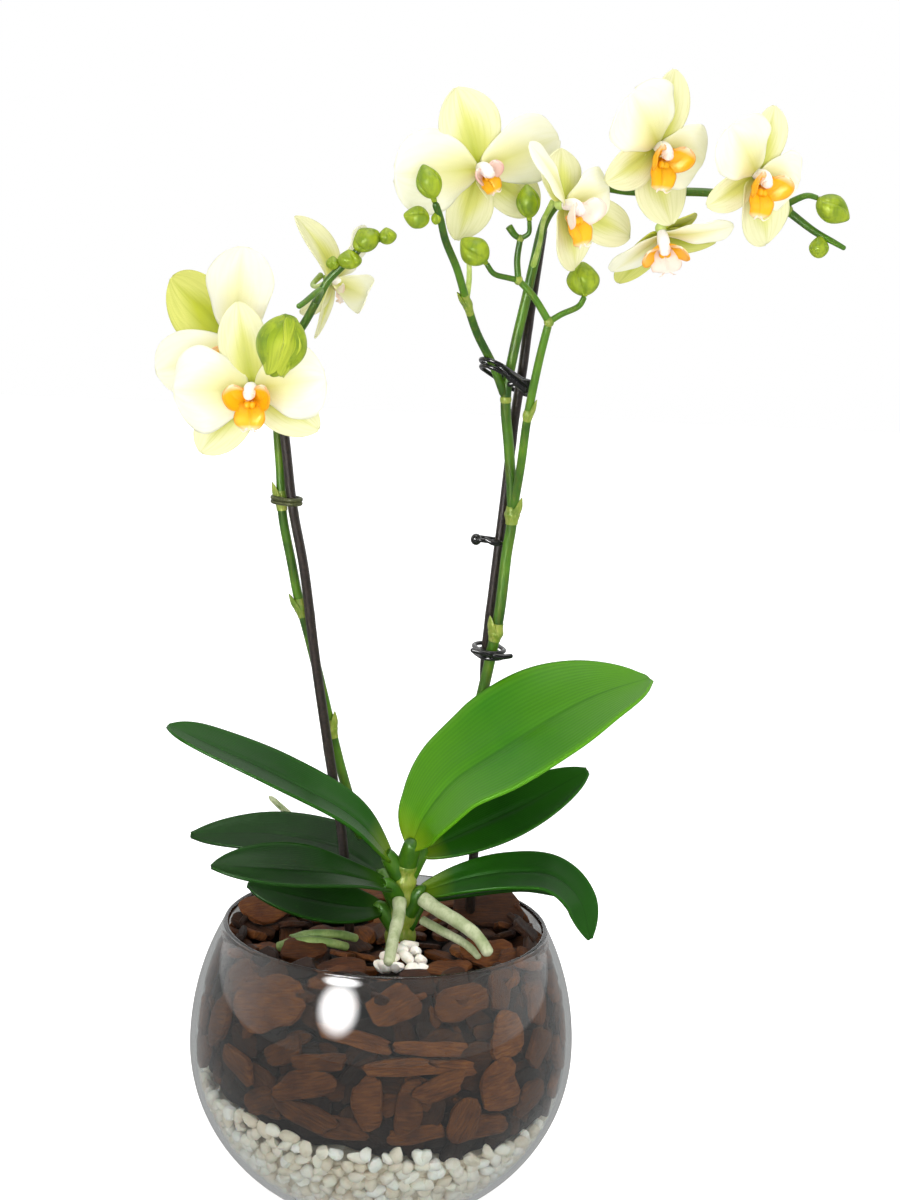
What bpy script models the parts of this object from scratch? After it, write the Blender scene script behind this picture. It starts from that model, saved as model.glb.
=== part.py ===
"""Potted orchid: two flower spikes on stakes, a leaf rosette and its roots,
planted in a round clear bowl over a bed of pebbles and bark.

Metres, +Z up, origin at the centre of the bowl's flat base.  Every tuple of
positions below is in millimetres and is scaled by MM when it is used.
"""
import math

import bmesh
import bpy
from mathutils import Matrix, Vector

MM = 0.001

# ---------------------------------------------------------------- driving sizes
GAP = 0.00035            # clearance between neighbouring pieces

BOWL_RADIUS = 0.100      # outer radius at the widest ring
BOWL_RIM_Z = 0.147       # height of the rim
BOWL_EQUATOR_Z = 0.082   # height of the widest ring
ARC_PAST_RIM = 0.0514    # how far the wall's upper ellipse would run on past the rim
ARC_PAST_BASE = 0.0117   # how far its lower ellipse would run on past the base
BOWL_UPPER_B = BOWL_RIM_Z - BOWL_EQUATOR_Z + ARC_PAST_RIM  # vertical half axis above the widest ring
BOWL_LOWER_B = BOWL_EQUATOR_Z + ARC_PAST_BASE              # vertical half axis below it
GLASS_WALL = 0.0026
GLASS_FLOOR = 0.0055
FLOOR_ROUND = 0.004      # rise of the rounded corner between floor and wall
RIM_BEAD = 0.0020        # radius of the rounded rim

PEBBLE_LEFT_Z = 0.064    # top of the pebbles at the left wall
PEBBLE_RIGHT_Z = 0.049   # and at the right wall
BARK_BELOW_RIM = 0.014   # top of the bark under the rim
BED_LUMP = 0.0012        # height of the lumps on both beds
BOWL_STEPS = 36          # segments round the bowl and the beds inside it

CROWN_RADIUS = 0.0085    # short stem that carries the leaves
LEAF_THICK = 0.0018

SPIKE_RADIUS = 0.0031    # right flower stem
LEFT_SPIKE_RADIUS = 0.0027
BRANCH_RADIUS = 0.0020
TWIG_RADIUS = 0.0013
STAKE_RADIUS = 0.0026

PETAL_THICK = 0.0009
SEPAL_THICK = 0.0009
HUB_RADIUS = 0.0032      # where the three sepals join
FLOWER_BASE_R = 0.0022   # blades start this far from the flower's axis
SEPAL_SET_BACK = 0.0024  # sepals lie behind the petals by this much
HUB_SET_BACK = 0.0037    # and the hub's centre by this much
FORK_SWELL = 1.3         # a fork is this much thicker than its branch
CLIP_WIRE = 0.0011       # half thickness of the clips
COLUMN_LENGTH = 0.0085
LIP_DROP = 0.0064        # the lip's foot is this far under the flower's axis
LIP_REACH = 0.022        # and its tongue ends this far under it
LIP_SPREAD = 0.0095      # half the spread of its side lobes
LIP_HALF_WIDTH = 0.0062
LIP_THICK = 0.0010

# The placements below are given for a plant set in bark at this height, and for
# a stem and its stake whose radii add up to these; the plant follows the bark,
# and each stake moves aside with its own stem's radius.
PLANTED_AT_Z = 0.133
LEFT_PAIR = 0.0053
RIGHT_PAIR = 0.0057
PLANT_RISE = BOWL_RIM_Z - BARK_BELOW_RIM - PLANTED_AT_Z
LEFT_ASIDE = LEFT_PAIR - STAKE_RADIUS - LEFT_SPIKE_RADIUS
RIGHT_ASIDE = STAKE_RADIUS + SPIKE_RADIUS - RIGHT_PAIR

# ------------------------------------------------------------------- placements
CROWN_AXIS = ((8, -2, 126), (8, -5, 150), (9, -7, 170), (10, -8, 186))

CLIP_HEIGHTS = {"clip_low": 289, "clip_mid": 347, "clip_high": 432, "tie_left": 366}  # mm

# name, centre line from base to tip (mm), half width (mm), cup, roll (degrees)
LEAVES = (
    ("leaf_upper_left", ((1, -9, 184), (-20, -15, 208), (-58, -14, 227),
                         (-96, -8, 241), (-115, -4, 248)), 17.5, 0.22, 24),
    ("leaf_back_left", ((-2, 10, 168), (-13, 21, 172), (-30, 30, 177), (-64, 34, 181),
                        (-106, 36, 178)), 15.0, 0.20, -4),
    ("leaf_front_left", ((1, -15, 171), (-27, -40, 185), (-56, -52, 190),
                         (-86, -60, 192)), 15.0, 0.22, 6),
    ("leaf_low_left", ((-2, -7, 156), (-22, -12, 159), (-46, -16, 164),
                       (-71, -20, 170)), 13.0, 0.15, -6),
    ("leaf_big_right", ((12, -12, 191), (18, -15, 209), (32, -16, 229), (52, -15, 244),
                        (78, -11, 261), (102, -4, 273), (130, 6, 281)), 36.0, 0.16, -12),
    ("leaf_mid_right", ((17, -2, 186), (43, 4, 198), (70, 12, 210),
                        (102, 24, 226)), 15.0, 0.15, 14),
    ("leaf_droop_right", ((17, -9, 166), (40, -13, 176), (62, -14, 181),
                          (84, -13, 180), (99, -11, 167), (106, -8, 145)), 12.5, 0.12, 0),
    ("leaf_narrow_right", ((18, 2, 159), (46, 10, 164), (72, 13, 167),
                           (99, 14, 160)), 6.0, 0.10, 0),
)

# name, centre line (mm), radius at both ends (mm)
ROOTS = (
    ("root_front", ((7, -18, 165), (7, -25, 159), (5, -36, 151), (3, -48, 140)), 3.6, 2.8),
    ("root_right_thick", ((19, -18, 166), (27, -25, 163), (37, -33, 160),
                          (47, -40, 155)), 4.0, 3.4),
    ("root_right_thin", ((19, -16, 154), (30, -24, 151), (42, -31, 147)), 2.5, 2.2),
    ("root_back_rising", ((-14, 34, 158), (-28, 42, 167), (-44, 45, 180),
                          (-66, 48, 198)), 2.2, 1.6),
)

LEFT_STAKE = ((-18, 10, 128), (-24, 8, 186), (-32, 6, 231), (-41, 5, 283),
              (-48, 3, 330), (-55, 2, 364), (-60, 1, 400), (-64, 0, 418))
RIGHT_STAKE = ((44, 30, 126), (44, 30, 154), (45, 30, 200), (45, 30, 241), (46, 27, 266),
               (46, 24, 288),
               (49, 21, 330), (52, 20, 368), (55, 18, 410), (58, 17, 437), (60, 17, 461),
               (65, 20, 508))

LEFT_SPIKE = ((-15, 14, 187), (-19, 15, 200), (-28, 15, 229), (-37, 13, 264),
              (-45, 11, 294), (-51, 9, 315), (-55, 7, 334), (-60, 5, 358),
              (-62, 6, 382), (-64, 6, 403), (-64, 5, 424), (-58, 0, 444),
              (-50, -4, 459), (-46, -6, 467), (-41, -7, 477), (-35, -8, 484),
              (-29, -9, 490), (-22, -9, 498), (-14, -8, 500))
RIGHT_SPIKE = ((24, 16, 179), (33, 23, 208), (40, 24, 241), (45, 20, 266),
               (49, 17, 290), (52, 14, 312), (54, 14, 340), (56, 13, 362), (53, 12, 394),
               (50, 10, 421), (53, 9, 446), (58, 9, 473), (61, 10, 490),
               (66, 11, 512), (77, 11, 524), (93, 10, 528), (108, 9, 527),
               (141, 8, 528), (156, 7, 527), (175, 5, 524), (186, 3, 521))

# (centre line, radius at start, radius at end), all joined into the right spike
RIGHT_BRANCHES = (
    (((50, 10, 421), (43, 5, 438), (34, -2, 455), (28, -14, 472), (23, -27, 488),
      (17, -38, 502), (14, -43, 513), (11, -46, 521)), 2.2, 1.7),
    (((56, 13, 362), (59, 6, 388), (61, -2, 414), (65, -8, 442), (69, -12, 463)), 2.3, 2.0),
    (((69, -12, 463), (75, -12, 467), (83, -11, 471), (86, -10, 476)), 1.6, 1.4),
    (((69, -12, 463), (61, -14, 475), (53, -14, 483)), 1.9, 1.6),
    (((53, -14, 483), (48, -16, 484), (41, -20, 486), (37, -22, 491)), 1.5, 1.3),
    (((53, -14, 483), (52, -14, 493), (53, -14, 503)), 1.7, 1.5),
    (((53, -14, 503), (57, -15, 506), (57, -16, 512)), 1.3, 1.1),
    (((53, -14, 503), (50, -14, 505), (47, -14, 509)), 1.4, 1.9),
    (((180, 4, 522), (188, 1, 527), (193, -1, 529), (198, -2, 528)), 1.8, 1.3),
    (((184, 3, 521), (197, 0, 512), (207, -2, 507), (213, -2, 504)), 2.1, 1.2),
)
# small end buds joined to the spikes: centre, half sizes (mm), lean (degrees)
LEFT_SPIKE_BUDS = (((-38, -10, 487), (3.4, 3.2, 3.2), 0),
                   ((-30, -11, 489), (6.0, 4.8, 4.6), 0),
                   ((-22, -10, 499), (7.2, 6.0, 5.8), -35),
                   ((-12, -8, 501), (4.6, 4.2, 4.0), -10))
RIGHT_SPIKE_BUDS = (((12, -44, 513), (2.4, 2.4, 3.0), 0),
                    ((200, -2, 504), (4.8, 4.6, 5.2), 0))

# separate large buds: centre (mm), half sizes (mm), lean (degrees)
BUDS = (
    ("bud_far_left", (8, -48, 530), (5.4, 5.4, 7.0), 18),
    ("bud_low_left", (3, -44, 513), (5.6, 5.2, 4.8), 0),
    ("bud_inner_left", (31, -25, 497), (7.0, 6.4, 6.4), 20),
    ("bud_inner_top", (56, -16, 521), (5.4, 5.4, 7.2), 0),
    ("bud_inner_right", (85, -8, 484), (7.6, 7.0, 7.2), 0),
    ("bud_tip", (205, -4, 523), (8.2, 7.0, 6.8), 20),
    ("bud_opening", (-59, -55, 451), (12.5, 9.0, 15.5), 14),
)

# flowers: name, centre (mm), turn to the right and tilt up (degrees), the angle
# opposite the lip, then the blades: (blade, angle, length, lift, half width, bow,
# cup, twist) in mm and degrees
FLOWERS = (
    ("flower_left_front", (-74, -34, 427), -6, -8, 93, (
        ("dorsal", 101, 42, -3, 12.5, 2, 0.15, 0), ("left", 184, 39, 1, 22, 3, -0.05, 0),
        ("right", 12, 37, 1, 19, 3, -0.05, 0), ("low_left", 233, 45, -4, 12.5, 2, 0.15, 0),
        ("low_right", 326, 38, -6, 12, 2, 0.15, 0))),
    ("flower_left_rear", (-85, 4, 443), -25, 5, 140, (
        ("dorsal", 145, 53, -2, 17, 2, 0.15, 0), ("left", 201, 48, 2, 16, 2, 0.0, 0),
        ("right", 89, 49, 2, 19, 3, 0.0, 0), ("low_left", 240, 33, -4, 13, 2, 0.15, 0),
        ("low_right", 340, 18, -4, 10, 2, 0.15, 0))),
    ("flower_left_side", (-38, 24, 475), 72, -18, 100, (
        ("dorsal", 110, 26, -26, 11, 5, 0.2, 0), ("left", 170, 19, 24, 10, 5, 0.1, 0),
        ("right", 66, 32, 2, 15, 2, 0.0, 0), ("low_left", 228, 24, -5, 10, 2, 0.1, 0),
        ("low_right", 285, 34, -1, 7, 1, 0.1, 0))),
    ("flower_middle", (32, -18, 536), 28, -4, 118, (
        ("dorsal", 110, 40, -3, 16.5, 2, 0.15, 0), ("left", 184, 46, 0, 21, 3, -0.05, 0),
        ("right", 22, 44, 2, 17, 2, -0.05, 0), ("low_left", 258, 36, -2, 12.5, 2, 0.15, 0),
        ("low_right", 332, 42, -3, 12, 2, 0.15, 0))),
    ("flower_mid_low", (74, -30, 521), 48, -6, 98, (
        ("dorsal", 92, 26, -5, 14, 0, 0.0, 0), ("left", 140, 46, 2, 9, 4, 0.0, 35),
        ("right", 20, 26, 5, 14, 2, 0.0, 0), ("low_left", 298, 36, -1, 13, 2, 0.15, 0),
        ("low_right", 343, 55, 2, 11, 3, 0.1, 0))),
    ("flower_right_top", (117, -22, 550), 34, -16, 85, (
        ("dorsal", 85, 37, -3, 12, 2, 0.15, 0), ("left", 135, 39, 5, 20, 3, 0.0, 0),
        ("right", 347, 28, 3, 17, 1, 0.0, 0), ("low_left", 221, 30, -3, 12, 2, 0.15, 0),
        ("low_right", 294, 42, 5, 15, -3, 0.05, 0))),
    ("flower_right_end", (165, -24, 539), 34, -16, 82, (
        ("dorsal", 82, 33, -3, 11, 2, 0.15, 0), ("left", 138, 38, 5, 17, 3, 0.0, 0),
        ("right", 353, 25, 3, 15, 1, 0.0, 0), ("low_left", 219, 28, -3, 10, 2, 0.15, 0),
        ("low_right", 301, 44, -4, 14, 2, 0.15, 0))),
    ("flower_hanging", (123, 0, 507), 12, -52, 108, (
        ("dorsal", 332, 37, -5, 11, 2, 0.1, 0), ("left", 243, 38, 0, 8, 1, 0.05, 0),
        ("right", 24, 35, 3, 9, 2, 0.1, 0), ("low_left", 262, 56, -5, 9, 1, 0.05, 0),
        ("low_right", 2, 19, -9, 8, 1, 0.05, 0))),
)

# flower stalks, from a point on the spike; each ends behind its flower
PEDICELS = (
    ("flower_left_front", ((-64, 5, 424), (-67, -8, 427))),
    ("flower_left_rear", ((-64, 4, 427), (-68, 12, 436), (-76, 18, 443))),
    ("flower_left_side", ((-41, -8, 477), (-46, 4, 474), (-49, 15, 474))),
    ("flower_middle", ((28, -14, 472), (29, -7, 484), (27, -3, 505), (25, -2, 524), (24, -3, 533))),
    ("flower_mid_low", ((60, 10, 486), (63, 2, 500), (64, -12, 512))),
    ("flower_right_top", ((108, 9, 527), (107, 5, 540), (109, -6, 549))),
    ("flower_right_end", ((156, 7, 527), (156, 4, 536), (158, -6, 541))),
    ("flower_hanging", ((125, 8, 527), (124, 11, 521), (123, 9, 516))),
)

# stalk of the opening bud, from the left spike to just above the bud
OPENING_BUD_STALK = ((-46, -6, 467), (-43, -20, 474), (-44, -37, 475), (-49, -48, 471), (-52, -52, 469))

# outline rules: (place of the widest point, roundness of the tip, claw width)
PETAL_SHAPE = (0.62, 0.50, 0.20)
SEPAL_SHAPE = (0.50, 0.62, 0.42)
LEAF_SHAPE = (0.52, 0.62, 0.24)
PETALS = ("left", "right")

COLORS = {
    "glass": (0.86, 0.92, 0.91), "pebble": (0.83, 0.78, 0.70), "bark": (0.10, 0.035, 0.018),
    "leaf": (0.045, 0.17, 0.012), "leaf_dark": (0.02, 0.09, 0.012), "stem": (0.07, 0.20, 0.012),
    "root": (0.36, 0.42, 0.26), "stake": (0.012, 0.009, 0.007), "clip": (0.006, 0.006, 0.006),
    "petal": (0.86, 0.86, 0.62), "sepal": (0.80, 0.82, 0.38), "lip": (0.90, 0.45, 0.03),
    "bud": (0.36, 0.44, 0.015),
}


# ---------------------------------------------------------------- small helpers
def material(name, color, roughness, metallic=0.0):
    """Return the named Principled material, made on first use."""
    found = bpy.data.materials.get(name)
    if found:
        return found
    mat = bpy.data.materials.new(name)
    mat.use_nodes = True
    bsdf = mat.node_tree.nodes["Principled BSDF"]
    bsdf.inputs["Base Color"].default_value = (*color, 1.0)
    bsdf.inputs["Roughness"].default_value = roughness
    bsdf.inputs["Metallic"].default_value = metallic
    return mat


def at(point, aside=0.0):
    """A placement in millimetres as a place on the plant, in metres."""
    return Vector(point) * MM + Vector((0.0, aside, PLANT_RISE))


def mm(points, aside=0.0):
    return [at(p, aside) for p in points]


def place(obj, collection):
    for owner in list(obj.users_collection):
        owner.objects.unlink(obj)
    collection.objects.link(obj)


def as_cutter(obj):
    place(obj, CUTTERS)
    obj.hide_render = True
    obj.display_type = 'WIRE'
    return obj


def boolean(obj, other, operation):
    mod = obj.modifiers.new(operation.lower(), 'BOOLEAN')
    mod.operation = operation
    mod.solver = 'EXACT'
    mod.object = other
    return mod


def freeze(obj):
    """Replace the object's mesh by what its modifiers give."""
    graph = bpy.context.evaluated_depsgraph_get()
    mesh = bpy.data.meshes.new_from_object(obj.evaluated_get(graph))
    obj.modifiers.clear()
    obj.data = mesh
    return obj


def drop(obj):
    bpy.data.objects.remove(obj, do_unlink=True)


def finish(obj, name, mat, smooth=True):
    obj.name = name
    obj.data.name = name
    obj.data.materials.clear()
    obj.data.materials.append(mat)
    if smooth:
        obj.data.shade_smooth()
        obj.data.set_sharp_from_angle(angle=math.radians(50))
    place(obj, PART)
    return obj


def unite(parts):
    """Boolean-join a list of closed solids into the first one."""
    body = parts[0]
    for part in parts[1:]:
        boolean(body, part, 'UNION')
        freeze(body)
        drop(part)
    return body


def smooth_line(points, per_span):
    """Catmull-Rom points through the given ones."""
    pts = [points[0] * 2 - points[1]] + list(points) + [points[-1] * 2 - points[-2]]
    out = []
    for i in range(1, len(pts) - 2):
        a, b, c, d = pts[i - 1:i + 3]
        for k in range(per_span):
            t = k / per_span
            out.append(0.5 * ((2 * b) + (c - a) * t + (2 * a - 5 * b + 4 * c - d) * t * t
                              + (3 * b - a - 3 * c + d) * t ** 3))
    out.append(points[-1])
    return out


def tube(points, r_start, r_end, per_span=1):
    """A tapered tube along a smooth line, as a closed mesh."""
    line = smooth_line(points, per_span)
    curve = bpy.data.curves.new("tube", 'CURVE')
    curve.dimensions = '3D'
    curve.bevel_depth = 1.0
    curve.bevel_resolution = 2
    curve.use_fill_caps = True
    spline = curve.splines.new('POLY')
    spline.points.add(len(line) - 1)
    for i, p in enumerate(line):
        spline.points[i].co = (*p, 1.0)
        spline.points[i].radius = r_start + (r_end - r_start) * i / (len(line) - 1)
    obj = bpy.data.objects.new("tube", curve)
    bpy.context.scene.collection.objects.link(obj)
    bpy.context.view_layer.update()
    graph = bpy.context.evaluated_depsgraph_get()
    mesh = bpy.data.meshes.new_from_object(obj.evaluated_get(graph))
    bm = bmesh.new()
    bm.from_mesh(mesh)
    bmesh.ops.remove_doubles(bm, verts=bm.verts, dist=0.00002)
    bmesh.ops.recalc_face_normals(bm, faces=bm.faces)
    bm.to_mesh(mesh)
    bm.free()
    solid = bpy.data.objects.new("tube", mesh)
    solid.matrix_world = obj.matrix_world.copy()
    bpy.context.scene.collection.objects.link(solid)
    drop(obj)
    return solid


def ball(centre, half, lean=0.0, segments=8, rings=6):
    """An ellipsoid, leaning in the XZ plane."""
    bm = bmesh.new()
    bmesh.ops.create_uvsphere(bm, u_segments=segments, v_segments=rings, radius=1.0)
    turn = Matrix.Rotation(math.radians(lean), 4, 'Y')
    bm.transform(Matrix.Translation(centre) @ turn @ Matrix.Diagonal((*half, 1.0)))
    mesh = bpy.data.meshes.new("ball")
    bm.to_mesh(mesh)
    bm.free()
    obj = bpy.data.objects.new("ball", mesh)
    bpy.context.scene.collection.objects.link(obj)
    return obj


def outline(t, shape):
    """Half width of a blade at t from 0 (base) to 1 (tip), widest is 1."""
    peak, tip, claw = shape
    t = min(max(t, 0.0001), 0.985)
    a = tip * peak / (1 - peak)
    lobe = (t ** a) * ((1 - t) ** tip) / (peak ** a * (1 - peak) ** tip)
    base = claw * (1 - t) ** 3
    return base + (1 - base) * lobe


def blade(line, half_width, shape, normal, cup, twist, thickness, across, along):
    """A thin closed blade: a primitive grid bent along a line, then thickened.

    line(t) gives the centre line, normal the side it faces.
    """
    bm = bmesh.new()
    bmesh.ops.create_grid(bm, x_segments=across, y_segments=along, size=1.0)
    for vert in bm.verts:
        side, t = vert.co.x, (vert.co.y + 1) / 2
        point = line(t)
        ahead = (line(min(t + 0.01, 1.0)) - line(max(t - 0.01, 0.0))).normalized()
        across_dir = normal.cross(ahead).normalized()
        up = ahead.cross(across_dir)
        turned = Matrix.Rotation(math.radians(twist), 3, ahead)
        across_dir, up = turned @ across_dir, turned @ up
        width = half_width * outline(t, shape)
        vert.co = point + across_dir * side * width + up * cup * width * side * side
    mesh = bpy.data.meshes.new("blade")
    bm.to_mesh(mesh)
    bm.free()
    obj = bpy.data.objects.new("blade", mesh)
    bpy.context.scene.collection.objects.link(obj)
    mod = obj.modifiers.new("thickness", 'SOLIDIFY')
    mod.thickness = thickness
    mod.offset = 0.0
    mod.use_even_offset = False
    freeze(obj)
    bm = bmesh.new()
    bm.from_mesh(obj.data)
    bmesh.ops.recalc_face_normals(bm, faces=bm.faces)
    bm.to_mesh(obj.data)
    bm.free()
    return obj


# ----------------------------------------------------------------------- vessel
def bowl_radius(z):
    """Outer radius of the bowl at height z."""
    b = BOWL_UPPER_B if z > BOWL_EQUATOR_Z else BOWL_LOWER_B
    return BOWL_RADIUS * math.sqrt(max(0.0, 1 - ((z - BOWL_EQUATOR_Z) / b) ** 2))


def inner_radius(z, clearance=0.0):
    """Inner radius at height z, reduced by a clearance."""
    step = 0.0005
    slope = (bowl_radius(z + step) - bowl_radius(z - step)) / (2 * step)
    return bowl_radius(z) - (GLASS_WALL + clearance) * math.sqrt(1 + slope * slope)


def wall_heights(start, end, rows):
    """Heights between two, at even steps along the wall's curve."""
    def at(z):
        b = BOWL_UPPER_B if z > BOWL_EQUATOR_Z else BOWL_LOWER_B
        return math.asin((z - BOWL_EQUATOR_Z) / b)

    def height(angle):
        b = BOWL_UPPER_B if angle > 0 else BOWL_LOWER_B
        return BOWL_EQUATOR_Z + b * math.sin(angle)
    first, last = at(start), at(end)
    return [height(first + (last - first) * i / rows) for i in range(rows + 1)]


def turned(name, profile, steps):
    """Screw a profile of (radius, z) round Z into a closed solid."""
    mesh = bpy.data.meshes.new(name)
    mesh.from_pydata([(r, 0, z) for r, z in profile],
                     [(i, i + 1) for i in range(len(profile) - 1)], [])
    obj = bpy.data.objects.new(name, mesh)
    bpy.context.scene.collection.objects.link(obj)
    mod = obj.modifiers.new("screw", 'SCREW')
    mod.steps = steps
    mod.render_steps = steps
    mod.use_merge_vertices = True
    mod.merge_threshold = 0.00005
    return freeze(obj)


def make_bowl():
    top = BOWL_RIM_Z - RIM_BEAD
    low = GLASS_FLOOR + FLOOR_ROUND
    inner = [(0.0, GLASS_FLOOR), (inner_radius(low) * 0.86, GLASS_FLOOR)]
    inner += [(inner_radius(z), z) for z in wall_heights(low, top, 9)]
    mid = (bowl_radius(top) + inner_radius(top)) / 2
    half = (bowl_radius(top) - inner_radius(top)) / 2
    bead = [(mid + half * math.cos(math.radians(a)), top + RIM_BEAD * math.sin(math.radians(a)))
            for a in (135, 90, 45)]
    outer = [(bowl_radius(z), z) for z in wall_heights(top, 0.0, 8)]
    return finish(turned("glass_bowl", inner + bead + outer + [(0.0, 0.0)], BOWL_STEPS),
                  "glass_bowl", material("clear glass", COLORS["glass"], 0.05))


def bed_height(x, y):
    """Height of the pebbles' top at a place, lumps included."""
    share = (x / BOWL_RADIUS + 1) / 2
    base = PEBBLE_LEFT_Z + (PEBBLE_RIGHT_Z - PEBBLE_LEFT_Z) * share
    return base + BED_LUMP * (math.sin(x * 310) * math.cos(y * 270) + 0.6 * math.sin(y * 190 + x * 90))


def bark_height(x, y):
    """Height of the bark's top at a place, lumps included."""
    base = BOWL_RIM_Z - BARK_BELOW_RIM
    return base + BED_LUMP * (math.cos(x * 260 + 0.7) * math.sin(y * 230)
                              + 0.7 * math.cos(y * 170 - x * 60))


def height_cutter(name, height, up, reach):
    """A block whose one face follows height(x, y), made from a grid."""
    bm = bmesh.new()
    bmesh.ops.create_grid(bm, x_segments=10, y_segments=10, size=BOWL_RADIUS * 1.15)
    bmesh.ops.triangulate(bm, faces=bm.faces)
    top = bmesh.ops.extrude_face_region(bm, geom=list(bm.faces))
    moved = {v for v in top["geom"] if isinstance(v, bmesh.types.BMVert)}
    for vert in bm.verts:
        vert.co.z = (reach if up else -reach) if vert in moved else height(vert.co.x, vert.co.y)
    bmesh.ops.recalc_face_normals(bm, faces=bm.faces)
    mesh = bpy.data.meshes.new(name)
    bm.to_mesh(mesh)
    bm.free()
    obj = bpy.data.objects.new(name, mesh)
    return as_cutter_new(obj)


def as_cutter_new(obj):
    CUTTERS.objects.link(obj)
    obj.hide_render = True
    obj.display_type = 'WIRE'
    return obj


def bed_fill(name, z_low, z_high, rows, steps, foot=None):
    """The bowl's inside between two heights, with the clearance taken off."""
    profile = [(0.0, z_high)]
    for z in wall_heights(z_high, z_low, rows):
        profile.append((inner_radius(z, GAP * 2), z))
    if foot is not None:
        profile.append((profile[-1][0] * 0.80, foot))
    profile.append((0.0, profile[-1][1]))
    return turned(name, profile, steps)


def make_beds(sockets):
    low = GLASS_FLOOR + FLOOR_ROUND + GAP
    pebbles = bed_fill("pebble_bed", low, PEBBLE_LEFT_Z + 0.012, 6, BOWL_STEPS,
                       GLASS_FLOOR + GAP)
    cut = height_cutter("pebble_cutter", bed_height, True, PEBBLE_LEFT_Z + 0.08)
    boolean(pebbles, cut, 'DIFFERENCE')
    freeze(pebbles)
    finish(pebbles, "pebble_bed", material("white pebbles", COLORS["pebble"], 0.6), False)

    top = BOWL_RIM_Z - BARK_BELOW_RIM + 3 * BED_LUMP
    bark = bed_fill("bark_bed", PEBBLE_RIGHT_Z - 0.010, top, 7, BOWL_STEPS)
    below = height_cutter("bark_lower_cutter", lambda x, y: bed_height(x, y) + GAP * 2, False, 0.02)
    above = height_cutter("bark_upper_cutter", bark_height, True, BOWL_RIM_Z + 0.06)
    for cutter in (below, above):
        boolean(bark, cutter, 'DIFFERENCE')
        freeze(bark)
    for socket in sockets:
        boolean(bark, socket, 'DIFFERENCE')
        freeze(bark)
        drop(socket)
    finish(bark, "bark_bed", material("bark chips", COLORS["bark"], 0.85), False)


# ------------------------------------------------------------------------ plant
def leaf_line(points):
    dense = smooth_line(points, 12)

    def line(t):
        at = t * (len(dense) - 1)
        i = min(int(at), len(dense) - 2)
        return dense[i].lerp(dense[i + 1], at - i)
    return line


def make_leaf(name, points, half_width, cup, roll):
    pts = mm(points)
    normal = Vector((0.0, -0.55, 0.84))
    obj = blade(leaf_line(pts), half_width * MM, LEAF_SHAPE, normal, cup, roll, LEAF_THICK, 4, 9)
    dark = "left" in name
    return finish(obj, name, material("dark leaf" if dark else "leaf",
                                      COLORS["leaf_dark" if dark else "leaf"], 0.4))


def make_crown():
    """The short stem, tapered up, closed at both ends."""
    return finish(tube(mm(CROWN_AXIS), CROWN_RADIUS, CROWN_RADIUS * 0.55, 2), "crown",
                  material("stem", COLORS["stem"], 0.5))


def hub_back(flower):
    """Where a flower's stalk ends, just behind its hub."""
    name, centre, turn, tilt = flower[:4]
    face = flower_frame(turn, tilt)[2]
    return at(centre) - face * (HUB_SET_BACK + HUB_RADIUS + TWIG_RADIUS + GAP)


def make_spikes():
    stem = material("stem", COLORS["stem"], 0.45)
    left = [tube(mm(LEFT_SPIKE), LEFT_SPIKE_RADIUS, BRANCH_RADIUS * 0.9)]
    for centre, half, lean in LEFT_SPIKE_BUDS:
        left.append(ball(at(centre), Vector(half) * MM, lean))
    right = [tube(mm(RIGHT_SPIKE), SPIKE_RADIUS, BRANCH_RADIUS)]
    forks = {}
    for points, r0, r1 in RIGHT_BRANCHES:
        right.append(tube(mm(points), r0 * MM, r1 * MM))
        forks[points[0]] = max(forks.get(points[0], 0.0), r0)
    for point, radius in forks.items():
        if point not in RIGHT_SPIKE[:-1]:
            half = Vector((1, 1, 1)) * radius * FORK_SWELL * MM
            right.append(ball(at(point), half))
    for centre, half, lean in RIGHT_SPIKE_BUDS:
        right.append(ball(at(centre), Vector(half) * MM, lean))
    left.append(tube(mm(OPENING_BUD_STALK), TWIG_RADIUS * 1.2, TWIG_RADIUS))
    flowers = {flower[0]: flower for flower in FLOWERS}
    for name, points in PEDICELS:
        stalk = tube(mm(points) + [hub_back(flowers[name])], TWIG_RADIUS * 1.1, TWIG_RADIUS)
        (left if name.startswith("flower_left") else right).append(stalk)
    finish(unite(left), "left_spike", stem)
    finish(unite(right), "right_spike", stem)


def make_stakes():
    dark = material("stake", COLORS["stake"], 0.45)
    finish(tube(mm(LEFT_STAKE, LEFT_ASIDE), STAKE_RADIUS, STAKE_RADIUS * 0.92), "left_stake", dark)
    finish(tube(mm(RIGHT_STAKE, RIGHT_ASIDE), STAKE_RADIUS, STAKE_RADIUS * 0.92), "right_stake", dark)


def socket_for(points, radius, per_span=1, aside=0.0):
    """A slightly larger copy of what stands in the bark, to cut its socket."""
    return tube(mm(points, aside), radius + GAP * 2, radius + GAP * 2, per_span)


# ---------------------------------------------------------------------- flowers
def flower_frame(turn, tilt):
    """Right, up and facing directions of a flower."""
    y, p = math.radians(turn), math.radians(tilt)
    face = Vector((math.sin(y) * math.cos(p), -math.cos(y) * math.cos(p), math.sin(p)))
    up = Vector((0, 0, 1)) - face * face.z
    up.normalize()
    return up.cross(face), up, face


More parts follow.
